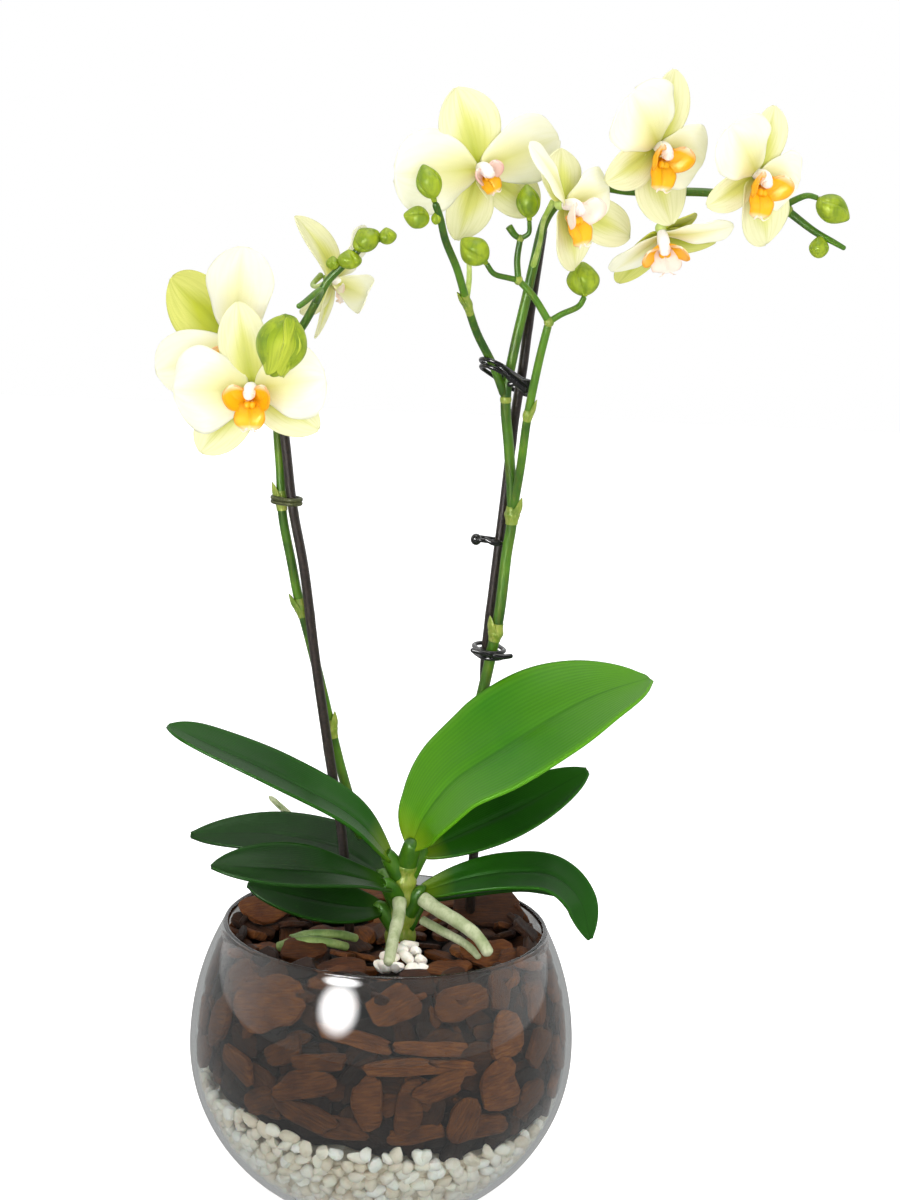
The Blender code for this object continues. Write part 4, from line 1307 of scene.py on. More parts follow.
@dataclass
class Leaves:
    """The rosette of eight leaves; the crown holds the foot of each."""

    thickness: float = 0.0016
    facing: Vector = field(default_factory=lambda: Vector((0.0, -0.55, 0.84)))

    def specs(self) -> tuple[LeafSpec, ...]:
        """The leaves as they grow, left to right."""
        return (
            LeafSpec("leaf_upper_left", ((1, -9, 184), (-20, -15, 208), (-58, -14, 227),
                                         (-96, -8, 241), (-115, -4, 248)), 17.5, 0.22, 24,
                     LEAF_MID_SHADED, Slot.LEAF_DARK_SHADED),
            LeafSpec("leaf_back_left", ((-2, 10, 168), (-13, 21, 172), (-30, 30, 177),
                                        (-64, 34, 181), (-106, 36, 178)), 15.0, 0.20, -4,
                     LEAF_DARK_SHADED, Slot.LEAF_DARK_SHADED),
            LeafSpec("leaf_front_left", ((1, -15, 171), (-27, -40, 185), (-56, -52, 190),
                                         (-86, -60, 192)), 15.0, 0.22, 6, LEAF_DARK_SHADED,
                     Slot.LEAF_DARK_SHADED),
            LeafSpec("leaf_low_left", ((-2, -7, 156), (-22, -12, 159), (-46, -16, 164),
                                       (-71, -20, 170)), 13.0, 0.15, -6, LEAF_DARK_SHADED,
                     Slot.LEAF_DARK_SHADED),
            LeafSpec("leaf_big_right", ((12, -12, 191), (18, -15, 209), (32, -16, 229),
                                        (52, -15, 244), (78, -11, 261), (102, -4, 273),
                                        (130, 6, 281)), 36.0, 0.16, -12, LEAF, Slot.LEAF,
                     Outline(0.58, 0.60, 0.06), 0.0018, 0.0014),
            LeafSpec("leaf_mid_right", ((17, -2, 186), (43, 4, 198), (70, 12, 210),
                                        (102, 24, 226)), 15.0, 0.15, 14, LEAF_MID_SHADED, Slot.LEAF),
            LeafSpec("leaf_droop_right", ((17, -9, 166), (40, -13, 176), (62, -14, 181),
                                          (84, -13, 180), (99, -11, 167), (106, -8, 145)),
                     12.5, 0.12, 0, LEAF_MID_SHADED, Slot.LEAF),
            LeafSpec("leaf_narrow_right", ((18, 2, 159), (46, 10, 164), (72, 13, 167),
                                           (99, 14, 160)), 6.0, 0.10, 0, LEAF_DARK_SHADED, Slot.LEAF),
        )

    def build(self) -> None:
        """Model and dress every leaf."""
        for i, spec in enumerate(self.specs()):
            blade = Blade(spec.node + "_fine", through(spread_line(spec.points), 12),
                          spec.half_width * MM, spec.shape, self.facing, cup=spec.cup,
                          twist=spec.roll, thickness=self.thickness, ruffle=spec.ruffle, waves=1.3,
                          fold=spec.fold, curl=0.0, across=26, along=64, seed=i * 1.9)
            dress(blade.build(), spec.finish, spec.slot, spec.node)


@dataclass
class Crown:
    """The short stem at the heart of the rosette, with the foot of each leaf."""

    radius: float = 0.0085

    def build(self) -> None:
        """Model the stem, then a foot from it to each leaf."""
        line = through(spread_line(((8, -2, 126), (8, -5, 150), (9, -7, 170), (10, -8, 186))))

        def swell(t: float) -> float:
            """Radius with the rings that old leaves leave."""
            ring = 0.06 * math.sin(t * 38)
            return self.radius * (1.0 - 0.45 * t + ring) * (0.4 if t in (0.0, 1.0) else 1.0)
        parts = [coat(tube("crown_stem", line, swell, 60, 28), NODE)]
        for spec in Leaves().specs():
            foot = Vector(spec.points[0])
            ahead = foot.lerp(Vector(spec.points[1]), 0.12)
            way = [Vector((9, -6, foot.z - 14)) * MM, foot * MM, ahead * MM]
            first, last = 5.6 * MM, min(4.2, 0.12 * spec.half_width + 1.0) * MM

            def radius(t: float, first: float = first, last: float = last) -> float:
                """Radius of a leaf's foot, thinner towards the blade."""
                return (first + (last - first) * t) * (0.3 if t in (0.0, 1.0) else 1.0)
            parts.append(coat(tube(spec.node + "_foot", through(way, 8), radius, 24, 20),
                              LEAF_FOOT))
        obj = joined("crown_fine", parts)
        smooth(obj, 180.0)
        dress(obj, STEM, Slot.STEM, "crown")


@dataclass
class Roots:
    """Four aerial roots that show above the bark, and green loops among it."""

    def build(self) -> None:
        """Model and dress the roots."""
        rows = (
            ("root_front", ((7, -18, 165), (7, -25, 159), (5, -36, 151), (3, -48, 140)), 3.6, 2.8),
            ("root_right_thick", ((19, -18, 166), (27, -25, 163), (37, -33, 160),
                                  (47, -40, 155), (54, -46, 147)), 4.0, 3.0),
            ("root_right_thin", ((19, -16, 154), (30, -24, 151), (42, -31, 147),
                                 (49, -36, 141)), 2.5, 2.0),
            ("root_back_rising", ((-14, 34, 158), (-28, 42, 167), (-44, 45, 180),
                                  (-66, 48, 198)), 2.2, 1.6),
        )
        for i, (node, points, first, last) in enumerate(rows):
            dress(self.root(node + "_fine", points, first, last, i), ROOT_SKIN, Slot.ROOT, node)
        loops = (((-54, -18, 137), (-44, -22, 142), (-30, -22, 142), (-18, -17, 138)),
                 ((-48, -8, 138), (-38, -14, 143), (-24, -12, 143), (-14, -6, 139)))
        parts = [self.root(f"loop_{i}", points, 2.6, 2.2, 9 + i)
                 for i, points in enumerate(loops)]
        obj = joined("green_roots_in_bark", parts)
        dress(obj, Skin("green_root", "5C7A3A", "8CA05A", "3F5E26", patch_mm=8.0, streak_mm=1.2,
                        stretch=(1, 1, 0.5), spot_amount=0.4, roughness=0.55, relief=0.3), Slot.ROOT)

    def root(self, name: str, points: Sequence[Point], first: float, last: float,
             seed: int) -> bpy.types.Object:
        """One knobbly root.

        Args:
            name: the piece's name.
            points: its centre line in millimetres.
            first: its radius at the start, in millimetres.
            last: its radius at the end.
            seed: what sets its bumps.

        Returns:
            The root.
        """
        def radius(t: float) -> float:
            """Radius with slow swellings and a rounded end."""
            bump = 1 + 0.10 * noise.noise(Vector((t * 7, seed * 3.1, 0)))
            end = math.sqrt(max(0.0, 1 - max(0.0, (t - 0.95) / 0.05) ** 2))
            return max(0.0002, (first + (last - first) * t) * MM * bump * max(end, 0.15))
        return smooth(tube(name, through(spread_line(points), 12), radius, 56, 20), 180.0)


# --------------------------------------------------------- stems, stakes, clips
LEFT_STAKE = ((-18, 10, 128), (-24, 8, 186), (-32, 6, 231), (-41, 5, 283), (-48, 3, 330),
              (-55, 2, 364), (-60, 1, 400), (-64, 0, 418))
RIGHT_STAKE = ((44, 30, 126), (44, 30, 154), (45, 30, 200), (45, 30, 241), (46, 27, 266),
               (46, 24, 288), (49, 21, 330), (52, 20, 368), (55, 18, 410), (58, 17, 437),
               (60, 17, 461), (65, 20, 508))
LEFT_SPIKE = ((-15, 14, 187), (-19, 15, 200), (-28, 15, 229), (-37, 13, 264), (-45, 11, 294),
              (-51, 9, 315), (-55, 7, 334), (-60, 5, 358), (-62, 6, 382), (-64, 6, 403),
              (-64, 5, 424), (-58, 0, 444), (-50, -4, 459), (-46, -6, 467), (-41, -7, 477),
              (-35, -8, 484), (-29, -9, 490), (-22, -9, 498), (-14, -8, 500))
RIGHT_SPIKE = ((24, 16, 179), (33, 23, 208), (40, 24, 241), (45, 20, 266), (49, 17, 290),
               (52, 14, 312), (54, 14, 340), (56, 13, 362), (53, 12, 394), (50, 10, 421),
               (53, 9, 446), (58, 9, 473), (61, 10, 490), (66, 11, 512), (77, 11, 524),
               (93, 10, 528), (108, 9, 527), (141, 8, 528), (156, 7, 527), (175, 5, 524),
               (186, 3, 521))
OPENING_BUD_STALK = ((-46, -6, 467), (-43, -20, 474), (-44, -37, 475), (-49, -48, 471),
                     (-52, -52, 469))
BRANCHES = (
    (((50, 10, 421), (43, 5, 438), (34, -2, 455), (28, -14, 472), (23, -27, 488),
      (17, -38, 502), (14, -43, 513), (11, -46, 521)), 2.2, 1.7),
    (((56, 13, 362), (59, 6, 388), (61, -2, 414), (65, -8, 442), (69, -12, 463)), 2.3, 2.0),
    (((69, -12, 463), (75, -12, 467), (83, -11, 471), (86, -10, 476)), 1.6, 1.4),
    (((69, -12, 463), (61, -14, 475), (53, -14, 483)), 1.9, 1.6),
    (((53, -14, 483), (48, -16, 484), (41, -20, 486), (37, -22, 491)), 1.5, 1.3),
    (((53, -14, 483), (52, -14, 493), (53, -14, 503)), 1.7, 1.5),
    (((53, -14, 503), (57, -15, 506), (57, -16, 512)), 1.3, 1.1),
    (((53, -14, 503), (50, -14, 505), (47, -14, 509)), 1.4, 1.9),
    (((180, 4, 522), (188, 1, 527), (193, -1, 529), (198, -2, 528)), 1.8, 1.3),
    (((184, 3, 521), (197, 0, 512), (207, -2, 507), (213, -2, 504)), 2.1, 1.2),
)
PEDICELS = (
    ("flower_left_front", ((-64, 5, 424), (-67, -8, 427))),
    ("flower_left_rear", ((-64, 4, 427), (-68, 12, 436), (-76, 18, 443))),
    ("flower_left_side", ((-41, -8, 477), (-46, 4, 474), (-49, 15, 474))),
    ("flower_middle", ((28, -14, 472), (29, -7, 484), (27, -3, 505), (25, -2, 524), (24, -3, 533))),
    ("flower_mid_low", ((60, 10, 486), (63, 2, 500), (64, -12, 512))),
    ("flower_right_top", ((108, 9, 527), (107, 5, 540), (109, -6, 549))),
    ("flower_right_end", ((156, 7, 527), (156, 4, 536), (158, -6, 541))),
    ("flower_hanging", ((125, 8, 527), (124, 11, 521), (123, 9, 516))),
)


def at_height(points: Sequence[Point], z: float) -> Vector:
    """The place of a stem or stake at a height in millimetres."""
    line = through(spread_line(points), 8)
    best = min(range(401), key=lambda k: abs(line(k / 400).z - z * MM))
    return line(best / 400)


@dataclass
class Spikes:
    """Both flower stems with their branches, nodes, bracts and stalks."""

    right_radius: float = 0.0031
    left_radius: float = 0.0027
    branch_radius: float = 0.0020
    twig_radius: float = 0.0013

    def stem(self, name: str, points: Sequence[Point], first: float, last: float,
             rings: int) -> bpy.types.Object:
        """A tapering stem, its radii in metres."""
        def radius(t: float) -> float:
            """Radius along the stem, drawn in at both ends."""
            end = min(1.0, 0.55 + 40 * min(t, 1 - t))
            return (first + (last - first) * t) * end
        return coat(tube(name, through(spread_line(points), 10), radius, rings, 18), STEM)

    def node(self, name: str, points: Sequence[Point], z: float, radius: float,
             side: float) -> list[bpy.types.Object]:
        """A joint on a stem: a swollen ring and a pointed bract on one side.

        Args:
            name: the parts' name.
            points: the stem's centre line in millimetres.
            z: the joint's height in millimetres.
            radius: the stem's radius there.
            side: 1 for a bract on the right, -1 on the left.

        Returns:
            The ring and the bract.
        """
        low, mid, high = (at_height(points, z + dz) for dz in (-5.0, 0.0, 5.0))
        ring = tube(name + "_ring", through([low, mid, high], 6),
                    lambda t: radius * (1.02 + 0.30 * math.exp(-((t - 0.5) / 0.22) ** 2)), 16, 18)
        ahead = (high - low).normalized()
        out = Vector((side, -0.25, 0.0)).normalized()
        out = (out - ahead * out.dot(ahead)).normalized()
        foot = mid - ahead * 0.002 + out * radius * 0.85
        tip = mid + ahead * 0.009 + out * radius * 1.5
        crest = foot.lerp(tip, 0.5) + out * radius * 0.35
        bract = Blade(name + "_bract", through([foot, crest, tip], 8), radius * 1.25,
                      Outline(0.32, 0.8, 0.8), out, cup=-0.75, twist=0.0, thickness=0.0007,
                      ruffle=0.0, waves=1.0, fold=0.0, curl=0.0, across=10, along=12)
        return [coat(ring, NODE), coat(bract.build(), NODE)]

    def stalk(self, flower: "Flower", points: Sequence[Point]) -> bpy.types.Object:
        """A flower's stalk, from its stem to just behind the flower."""
        way = spread_line(points) + [flower.back()]
        line = through(way, 10)
        thick = self.twig_radius
        return coat(tube("stalk_" + flower.name, line,
                         lambda t: thick * (1.25 - 0.35 * math.sin(math.pi * t)), 24, 14),
                    PEDICEL)

    def build(self, flowers: dict[str, "Flower"]) -> None:
        """Model and dress both stems."""
        left = [self.stem("left", LEFT_SPIKE, self.left_radius, self.branch_radius * 0.9, 120)]
        for z, side in ((366, -1.0), (310, -1.0), (246, 1.0), (432, 1.0)):
            left += self.node(f"left_{z}", LEFT_SPIKE, z, self.left_radius, side)
        for i, (centre, half, lean) in enumerate((
                ((-38, -10, 487), (3.4, 3.2, 3.2), 0), ((-30, -11, 489), (6.0, 4.8, 4.6), 0),
                ((-22, -10, 499), (7.2, 6.0, 5.8), -35), ((-12, -8, 501), (4.6, 4.2, 4.0), -10))):
            left.append(bud_body(f"left_bud_{i}", centre, half, lean))
        left.append(self.stem("opening_stalk", OPENING_BUD_STALK, self.twig_radius * 1.3,
                              self.twig_radius, 30))
        right = [self.stem("right", RIGHT_SPIKE, self.right_radius, self.branch_radius, 150)]
        for i, (points, first, last) in enumerate(BRANCHES):
            right.append(self.stem(f"branch_{i}", points, first * MM, last * MM, 36))
            swell = Vector((1.35, 1.35, 1.5)) * first * MM
            right.append(coat(ellipsoid(f"fork_{i}", Vector(points[0]) * MM, swell, 0, 18, 12),
                              NODE))
        for z, side in ((362, 1.0), (300, -1.0), (238, 1.0)):
            right += self.node(f"right_{z}", RIGHT_SPIKE, z, self.right_radius, side)
        for points, z, side in ((BRANCHES[0][0], 470, -1.0), (BRANCHES[1][0], 415, 1.0)):
            right += self.node(f"branch_{z}", points, z, self.branch_radius, side)
        for i, (centre, half, lean) in enumerate((((12, -44, 513), (2.4, 2.4, 3.0), 0),
                                                  ((200, -2, 504), (4.8, 4.6, 5.2), 0))):
            right.append(bud_body(f"right_bud_{i}", centre, half, lean))
        for name, points in PEDICELS:
            side = left if name.startswith("flower_left") else right
            side.append(self.stalk(flowers[name], points))
        for name, parts in (("left_spike", left), ("right_spike", right)):
            obj = joined(name + "_fine", parts)
            smooth(obj, 70.0)
            dress(obj, STEM, Slot.STEM, name)


PEDICEL = Skin("pale_flower_stalk", "8FAE3C", "C2CF7A", "6E9230", patch_mm=8.0, streak_mm=1.2,
               stretch=(1, 1, 0.2), spot_amount=0.3)


@dataclass
class Stakes:
    """The two dark canes that the stems lean on."""

    radius: float = 0.0026

    def build(self) -> None:
        """Model and dress both canes."""
        for node, points in (("left_stake", LEFT_STAKE), ("right_stake", RIGHT_STAKE)):
            def radius(t: float) -> float:
                """Radius with faint joints and a cut top."""
                joint = 0.05 * math.exp(-((t * 5 % 1 - 0.5) / 0.04) ** 2)
                return self.radius * (1 - 0.08 * t + joint) * (0.8 if t in (0.0, 1.0) else 1.0)
            obj = tube(node + "_fine", through(spread_line(points), 10), radius, 160, 16)
            dress(smooth(obj, 50.0), STAKE, Slot.STAKE, node)


@dataclass
class Clips:
    """Moulded clips that tie the stems to their canes."""

    wire: float = 0.0011

    def loop(self, name: str, one: Vector, other: Vector, radius: float,
             rise: float) -> bpy.types.Object:
        """A loop of wire round two points, its height set by rise."""
        ahead = (other - one).normalized()
        side = ahead.cross(Vector((0, 0, 1))).normalized()
        lift = Vector((0, 0, rise))
        path: list[Vector] = []
        for centre, start in ((other, -90), (one, 90)):
            for k in range(9):
                a = math.radians(start + 22.5 * k)
                path.append(centre + lift + (ahead * math.cos(a) + side * math.sin(a)) * radius)
        path += path[:2]
        wire = self.wire
        return tube(name, through(path, 4), lambda t: wire, 90, 12)

    def bar(self, name: str, points: Sequence[Vector], first: float,
            last: float) -> bpy.types.Object:
        """A short moulded bar with rounded ends, its radii in metres."""
        def radius(t: float) -> float:
            """Radius that rounds off at both ends."""
            end = math.sqrt(max(0.02, 1 - max(0.0, abs(t - 0.5) * 2 - 0.8) ** 2 / 0.04))
            return (first + (last - first) * t) * end
        return tube(name, through(list(points), 8), radius, 28, 12)

    def build(self) -> None:
        """Model and dress the four ties."""
        gap = 0.0009
        for node, stem, radius, z in (("clip_low", RIGHT_SPIKE, 0.0031, 289),
                                      ("clip_high", BRANCHES[0][0], 0.0031, 432)):
            one = at_height(stem, z + (5 if node == "clip_high" else 0))
            other = at_height(RIGHT_STAKE, z - (5 if node == "clip_high" else 0))
            out = radius + gap + self.wire + (0.0014 if node == "clip_low" else 0.0022)
            parts = [self.loop(node + "_a", one, other, out, 0.0014),
                     self.loop(node + "_b", one, other, out * 0.96, -0.0018)]
            front = one + Vector((0, -out, 0))
            if node == "clip_low":
                parts += [self.bar(node + "_l", [front + Vector((-0.011, 0.001, 0.0022)),
                                                 front + Vector((-0.005, 0.0, 0.0012)),
                                                 front], 0.0013, 0.0017),
                          self.bar(node + "_r", [front, front + Vector((0.006, 0.0, -0.0006)),
                                                 front + Vector((0.011, 0.001, 0.0))],
                                   0.0017, 0.0012)]
            else:
                mid = (one + other) / 2 + Vector((0.004, -0.008, -0.002))
                parts += [self.bar(node + "_arm", [mid + Vector((-0.010, 0, 0.010)),
                                                   mid + Vector((-0.003, -0.001, 0.004)),
                                                   mid + Vector((0.008, 0, -0.004))],
                                   0.0016, 0.0030),
                          self.bar(node + "_jaw", [mid + Vector((-0.004, 0, -0.001)),
                                                   mid + Vector((0.004, -0.001, 0.001)),
                                                   mid + Vector((0.010, 0, -0.001))],
                                   0.0014, 0.0022)]
            obj = joined(node + "_fine", parts)
            dress(smooth(obj, 60.0), CLIP, Slot.CLIP, node)
        mid = at_height(RIGHT_STAKE, 347)
        ring = mid + Vector((-0.009, -0.001, 0.001))
        parts = [self.loop("mid_a", ring, mid, 0.0044, 0.0),
                 coat(ellipsoid("mid_bead", ring + Vector((-0.003, -0.002, 0)),
                                Vector((0.0028, 0.0026, 0.0030)), 0, 20, 14), CLIP),
                 self.bar("mid_arm", [ring + Vector((0.001, -0.004, 0.001)),
                                      ring + Vector((0.006, -0.005, -0.001)),
                                      mid + Vector((0.001, -0.0045, 0.0))], 0.0012, 0.0016)]
        for part in parts:
            coat(part, CLIP)
        dress(smooth(joined("clip_mid_fine", parts), 60.0), CLIP, Slot.CLIP, "clip_mid")
        one, other = at_height(LEFT_SPIKE, 366), at_height(LEFT_STAKE, 366)
        parts = [self.loop("tie_a", one, other, 0.0045, 0.0010),
                 self.loop("tie_b", one, other, 0.0044, -0.0010)]
        obj = joined("tie_left_fine", parts)
        tie = Plain("olive_plant_tie", "2E3216", "474C22", roughness=0.5, coat=0.1, grain_mm=1.0,
                    relief=0.3)
        dress(smooth(obj, 60.0), tie, Slot.CLIP, "tie_left")


# ------------------------------------------------------------------------ buds
def bud_body(name: str, centre: Point, half: Point, lean: float) -> bpy.types.Object:
    """A closed bud: three swollen sepals that meet in grooves and in a tip.

    Args:
        name: the bud's name.
        centre: its centre in millimetres.
        half: its half sizes in millimetres.
        lean: its lean in the XZ plane, in degrees.

    Returns:
        The bud.
    """
    deselect()
    bpy.ops.mesh.primitive_uv_sphere_add(segments=60, ring_count=36, radius=1.0)
    obj = added(name)
    co = positions(obj)
    phase = centre[0] * 0.7
    for i, (x, y, z) in enumerate(co.tolist()):
        a = math.atan2(y, x) + phase + 0.35 * z
        flat = math.hypot(x, y)
        third = a % (math.tau / 3) - math.pi / 3
        seam = 1 - 0.20 * math.exp(-(third / 0.15) ** 2) * flat + 0.05 * abs(third) * flat
        narrow = 1 - 0.26 * max(0.0, z) ** 1.6 - 0.10 * max(0.0, -z) ** 2
        tip = 1 + 0.10 * max(0.0, z) ** 8
        co[i] = (x * seam * narrow, y * seam * narrow, z * tip)
    reshape(obj, co)
    turn = Matrix.Rotation(math.radians(lean), 4, "Y")
    scale = Matrix.Diagonal((*[h * MM for h in half], 1.0))
    obj.data.transform(Matrix.Translation(Vector(centre) * MM) @ turn @ scale)
    return coat(obj, BUD)


@dataclass
class Buds:
    """The closed buds and the one that is opening."""

    def build(self) -> None:
        """Model and dress every bud."""
        for node, centre, half, lean, foot in (
                ("bud_far_left", (8, -48, 530), (6.0, 6.0, 8.0), -22, (11, -46, 521)),
                ("bud_low_left", (3, -44, 513), (5.4, 5.4, 6.0), -80, (12, -44, 513)),
                ("bud_inner_left", (31, -25, 497), (7.0, 6.6, 7.8), -50, (37, -22, 491)),
                ("bud_inner_top", (56, -16, 521), (5.8, 5.8, 7.8), -8, (57, -16, 512)),
                ("bud_inner_right", (85, -8, 484), (8.0, 7.4, 8.0), -6, (86, -10, 476)),
                ("bud_tip", (205, -4, 523), (7.0, 7.0, 8.8), 118, (198, -2, 528))):
            obj = joined(node + "_fine", [bud_body(node + "_body", centre, half, lean),
                                          self.neck(node, foot, centre)])
            dress(smooth(obj, 180.0), BUD, Slot.BUD, node)
        self.opening()

    def neck(self, name: str, foot: Point, centre: Point) -> bpy.types.Object:
        """The short stalk between a twig's end and the middle of its bud."""
        line = through([Vector(foot) * MM, Vector(centre) * MM], 8)
        return coat(tube(name + "_neck", line, lambda t: (1.3 + 2.6 * t * t) * MM, 12, 16), BUD)

    def opening(self) -> None:
        """The large bud whose sepals have begun to part."""
        place, lean = (-59, -55, 451), 194.0
        centre = Vector(place) * MM
        parts = [bud_body("opening_heart", place, (12.0, 9.0, 14.5), lean)]
        turn = Matrix.Rotation(math.radians(lean), 3, "Y")
        for i, (bearing, reach, wide) in enumerate(((300, 1.0, 9.5), (215, 0.94, 9.0),
                                                    (168, 0.98, 8.0), (30, 0.9, 9.0),
                                                    (100, 0.9, 9.0))):
            a = math.radians(bearing)
            out = Vector((math.cos(a) * 1.0, math.sin(a) * 0.78, 0.0))
            foot = Vector((0, 0, -0.0145)) + out * 0.002
            belly = Vector((0, 0, -0.002)) + out * 0.0112 * reach
            tip = Vector((0, 0, 0.0150 * reach)) + out * 0.0050
            way = [centre + turn @ p for p in (foot, belly, tip)]
            sepal = Blade(f"opening_{i}", through(way, 10), wide * MM, Outline(0.5, 0.6, 0.35),
                          turn @ out.normalized(), cup=-0.42, twist=0.0, thickness=0.0010,
                          ruffle=0.0003, waves=1.0, fold=-0.0006, curl=0.0, across=16, along=24,
                          seed=float(i))
            parts.append(coat(sepal.build(), BUD_SEPAL))
        obj = joined("bud_opening_fine", parts)
        dress(smooth(obj, 180.0), BUD, Slot.BUD, "bud_opening")


BUD_SEPAL = Flesh("opening_bud_sepal", "6C8A0C", "93A818", "B8C438", "587A0C", "9DB41E",
                  through=0.16, vein_strength=0.5)


# --------------------------------------------------------------------- flowers
@dataclass
class BladeSpec:
    """One petal or sepal of a flower, in degrees and millimetres."""

    kind: str
    angle: float
    length: float
    lift: float
    half_width: float
    bow: float
    cup: float
    twist: float = 0.0


@dataclass
class Flower:
    """One orchid flower: three sepals behind, two petals, a lip and a column."""

    name: str
    place: Point
    turn: float
    tilt: float
    lip_angle: float
    blades: tuple[BladeSpec, ...]
    hub_radius: float = 0.0032
    set_back: float = 0.0024
    hub_back: float = 0.0037
    gap: float = 0.00035
    lip_size: float = 1.0
    lobe_finish: LipFlesh = LIP
    tongue_finish: LipFlesh = LIP
    limes: tuple[str, ...] = ()

    @property
    def centre(self) -> Vector:
        """Its centre in metres."""
        return Vector(self.place) * MM

    def axes(self) -> tuple[Vector, Vector, Vector]:
        """Its right, up and facing directions."""
        y, p = math.radians(self.turn), math.radians(self.tilt)
        face = Vector((math.sin(y) * math.cos(p), -math.cos(y) * math.cos(p), math.sin(p)))
        up = (Vector((0, 0, 1)) - face * face.z).normalized()
        return up.cross(face), up, face

    def back(self) -> Vector:
        """Where its stalk ends, just behind the hub."""
        return self.centre - self.axes()[2] * (self.hub_back + self.hub_radius + 0.0013
                                               + self.gap)

    def blade(self, spec: BladeSpec, petal: bool) -> bpy.types.Object:
        """Model one petal or sepal."""
        right, up, face = self.axes()
        back = 0.0 if petal else self.set_back
        a = math.radians(spec.angle)
        out = right * math.cos(a) + up * math.sin(a)
        base = self.centre + out * 0.0016 - face * back
        tip = self.centre + out * spec.length * MM + face * (spec.lift * MM - back)

        def line(t: float) -> Vector:
            """The blade's middle from base to tip."""
            return base.lerp(tip, t) + face * (spec.bow * MM * 4 * t * (1 - t))
        seed = sum(ord(c) for c in self.name) * 0.37 + spec.angle * 0.11
        wide = spec.half_width * MM
        made = Blade(f"{self.name}_{spec.kind}", line, wide, PETAL_SHAPE if petal else SEPAL_SHAPE,
                     face, cup=spec.cup, twist=spec.twist, thickness=0.0005 if petal else 0.0006,
                     ruffle=0.055 * wide if petal else 0.035 * wide, waves=2.2 if petal else 1.2,
                     fold=0.0005 if petal else 0.0007, curl=0.06 * wide if petal else 0.0,
                     across=22, along=34, seed=seed)
        finish = LIME if spec.kind in self.limes else PETAL if petal else SEPAL
        return coat(made.build(), finish)

    def column(self) -> list[bpy.types.Object]:
        """The short column in the middle, with its white cap."""
        _, _, face = self.axes()
        lip_up = self.lip_axes()[0]
        c = self.centre
        way = [c - face * 0.001, c + face * 0.0048 + lip_up * 0.0010,
               c + face * 0.0088 - lip_up * 0.0014]
        body = tube(self.name + "_column", through(way, 8),
                    lambda t: 0.0029 * (0.85 + 0.25 * math.sin(math.pi * t * 0.8)
                                        if t < 0.96 else 0.5), 22, 20)
        cap = ellipsoid(self.name + "_cap", way[2] + face * 0.0002, Vector((0.0026, 0.0026, 0.0022)),
                        0, 24, 16)
        return [coat(body, COLUMN), coat(cap, COLUMN)]

    def lip_axes(self) -> tuple[Vector, Vector]:
        """The direction opposite the lip, and the lip's side direction."""
        right, up, face = self.axes()
        a = math.radians(self.lip_angle)
        lip_up = right * math.cos(a) + up * math.sin(a)
        return lip_up, lip_up.cross(face)

    def lip(self) -> list[bpy.types.Object]:
        """The lip: a blunt tongue, two side lobes that stand up as a cup, a callus, tendrils."""
        face = self.axes()[2]
        up, side = self.lip_axes()
        size = self.lip_size * MM

        def spot(aside: float, rise: float, ahead: float) -> Vector:
            """A place on the lip, in millimetres from the flower's centre."""
            return self.centre + (side * aside + up * rise + face * ahead) * size
        way = [spot(0, -4.2, 3.0), spot(0, -9.0, 8.0), spot(0, -13.5, 10.5), spot(0, -18.0, 10.8)]
        tongue = Blade(self.name + "_tongue", through(way, 8), 7.6 * size,
                       Outline(0.55, 0.46, 0.30), face, cup=0.22, twist=0.0, thickness=0.0009,
                       ruffle=0.0006, waves=2.0, fold=0.0011, curl=0.0016, across=20, along=26,
                       seed=1.0)
        parts = [coat(tongue.build(), self.tongue_finish)]
        for sign in (-1, 1):
            way = [spot(sign * 1.0, -4.6, 3.2), spot(sign * 5.6, -4.4, 6.4),
                   spot(sign * 8.2, -0.6, 9.6), spot(sign * 8.0, 4.4, 11.6)]
            inwards = (side * -sign * 0.72 + up * 0.20 + face * 0.66).normalized()
            lobe = Blade(f"{self.name}_lobe_{sign}", through(way, 8), 6.2 * size,
                         Outline(0.62, 0.42, 0.32), inwards, cup=0.34, twist=sign * 14.0,
                         thickness=0.0009, ruffle=0.0005, waves=1.4, fold=0.0004, curl=0.0,
                         across=18, along=24, seed=2.0 + sign)
            parts.append(coat(lobe.build(), self.lobe_finish))
            curl = [spot(sign * 1.2, -17.0, 10.8), spot(sign * 3.0, -18.6, 12.0),
                    spot(sign * 4.4, -16.6, 13.6)]
            tendril = tube(f"{self.name}_tendril_{sign}", through(curl, 8),
                           lambda t: 0.00055 * (1.1 - t), 16, 8)
            parts.append(coat(tendril, LIP_WHITE))
            parts.append(coat(ellipsoid(f"{self.name}_callus_{sign}", spot(sign * 1.3, -6.2, 7.6),
                                        Vector((1.7, 1.7, 1.9)) * size, 0, 16, 10), LIP))
        return parts

    def build(self) -> None:
        """Model and dress the whole flower."""
        sepals = [self.blade(spec, False) for spec in self.blades
                  if spec.kind not in ("left", "right")]
        hub = ellipsoid(self.name + "_hub", self.centre - self.axes()[2] * self.hub_back,
                        Vector((1, 1, 1)) * self.hub_radius, 0, 24, 16)
        petals = [self.blade(spec, True) for spec in self.blades
                  if spec.kind in ("left", "right")]
        for part, parts, finish, slot in (
                ("sepals", sepals + [coat(hub, PEDICEL)], SEPAL, Slot.SEPAL),
                ("petals", petals + self.column(), PETAL, Slot.PETAL),
                ("lip", self.lip(), LIP, Slot.LIP)):
            obj = joined(f"{self.name}_{part}_fine", parts)
            smooth(obj, 180.0)
            dress(obj, finish, slot, f"{self.name}_{part}")


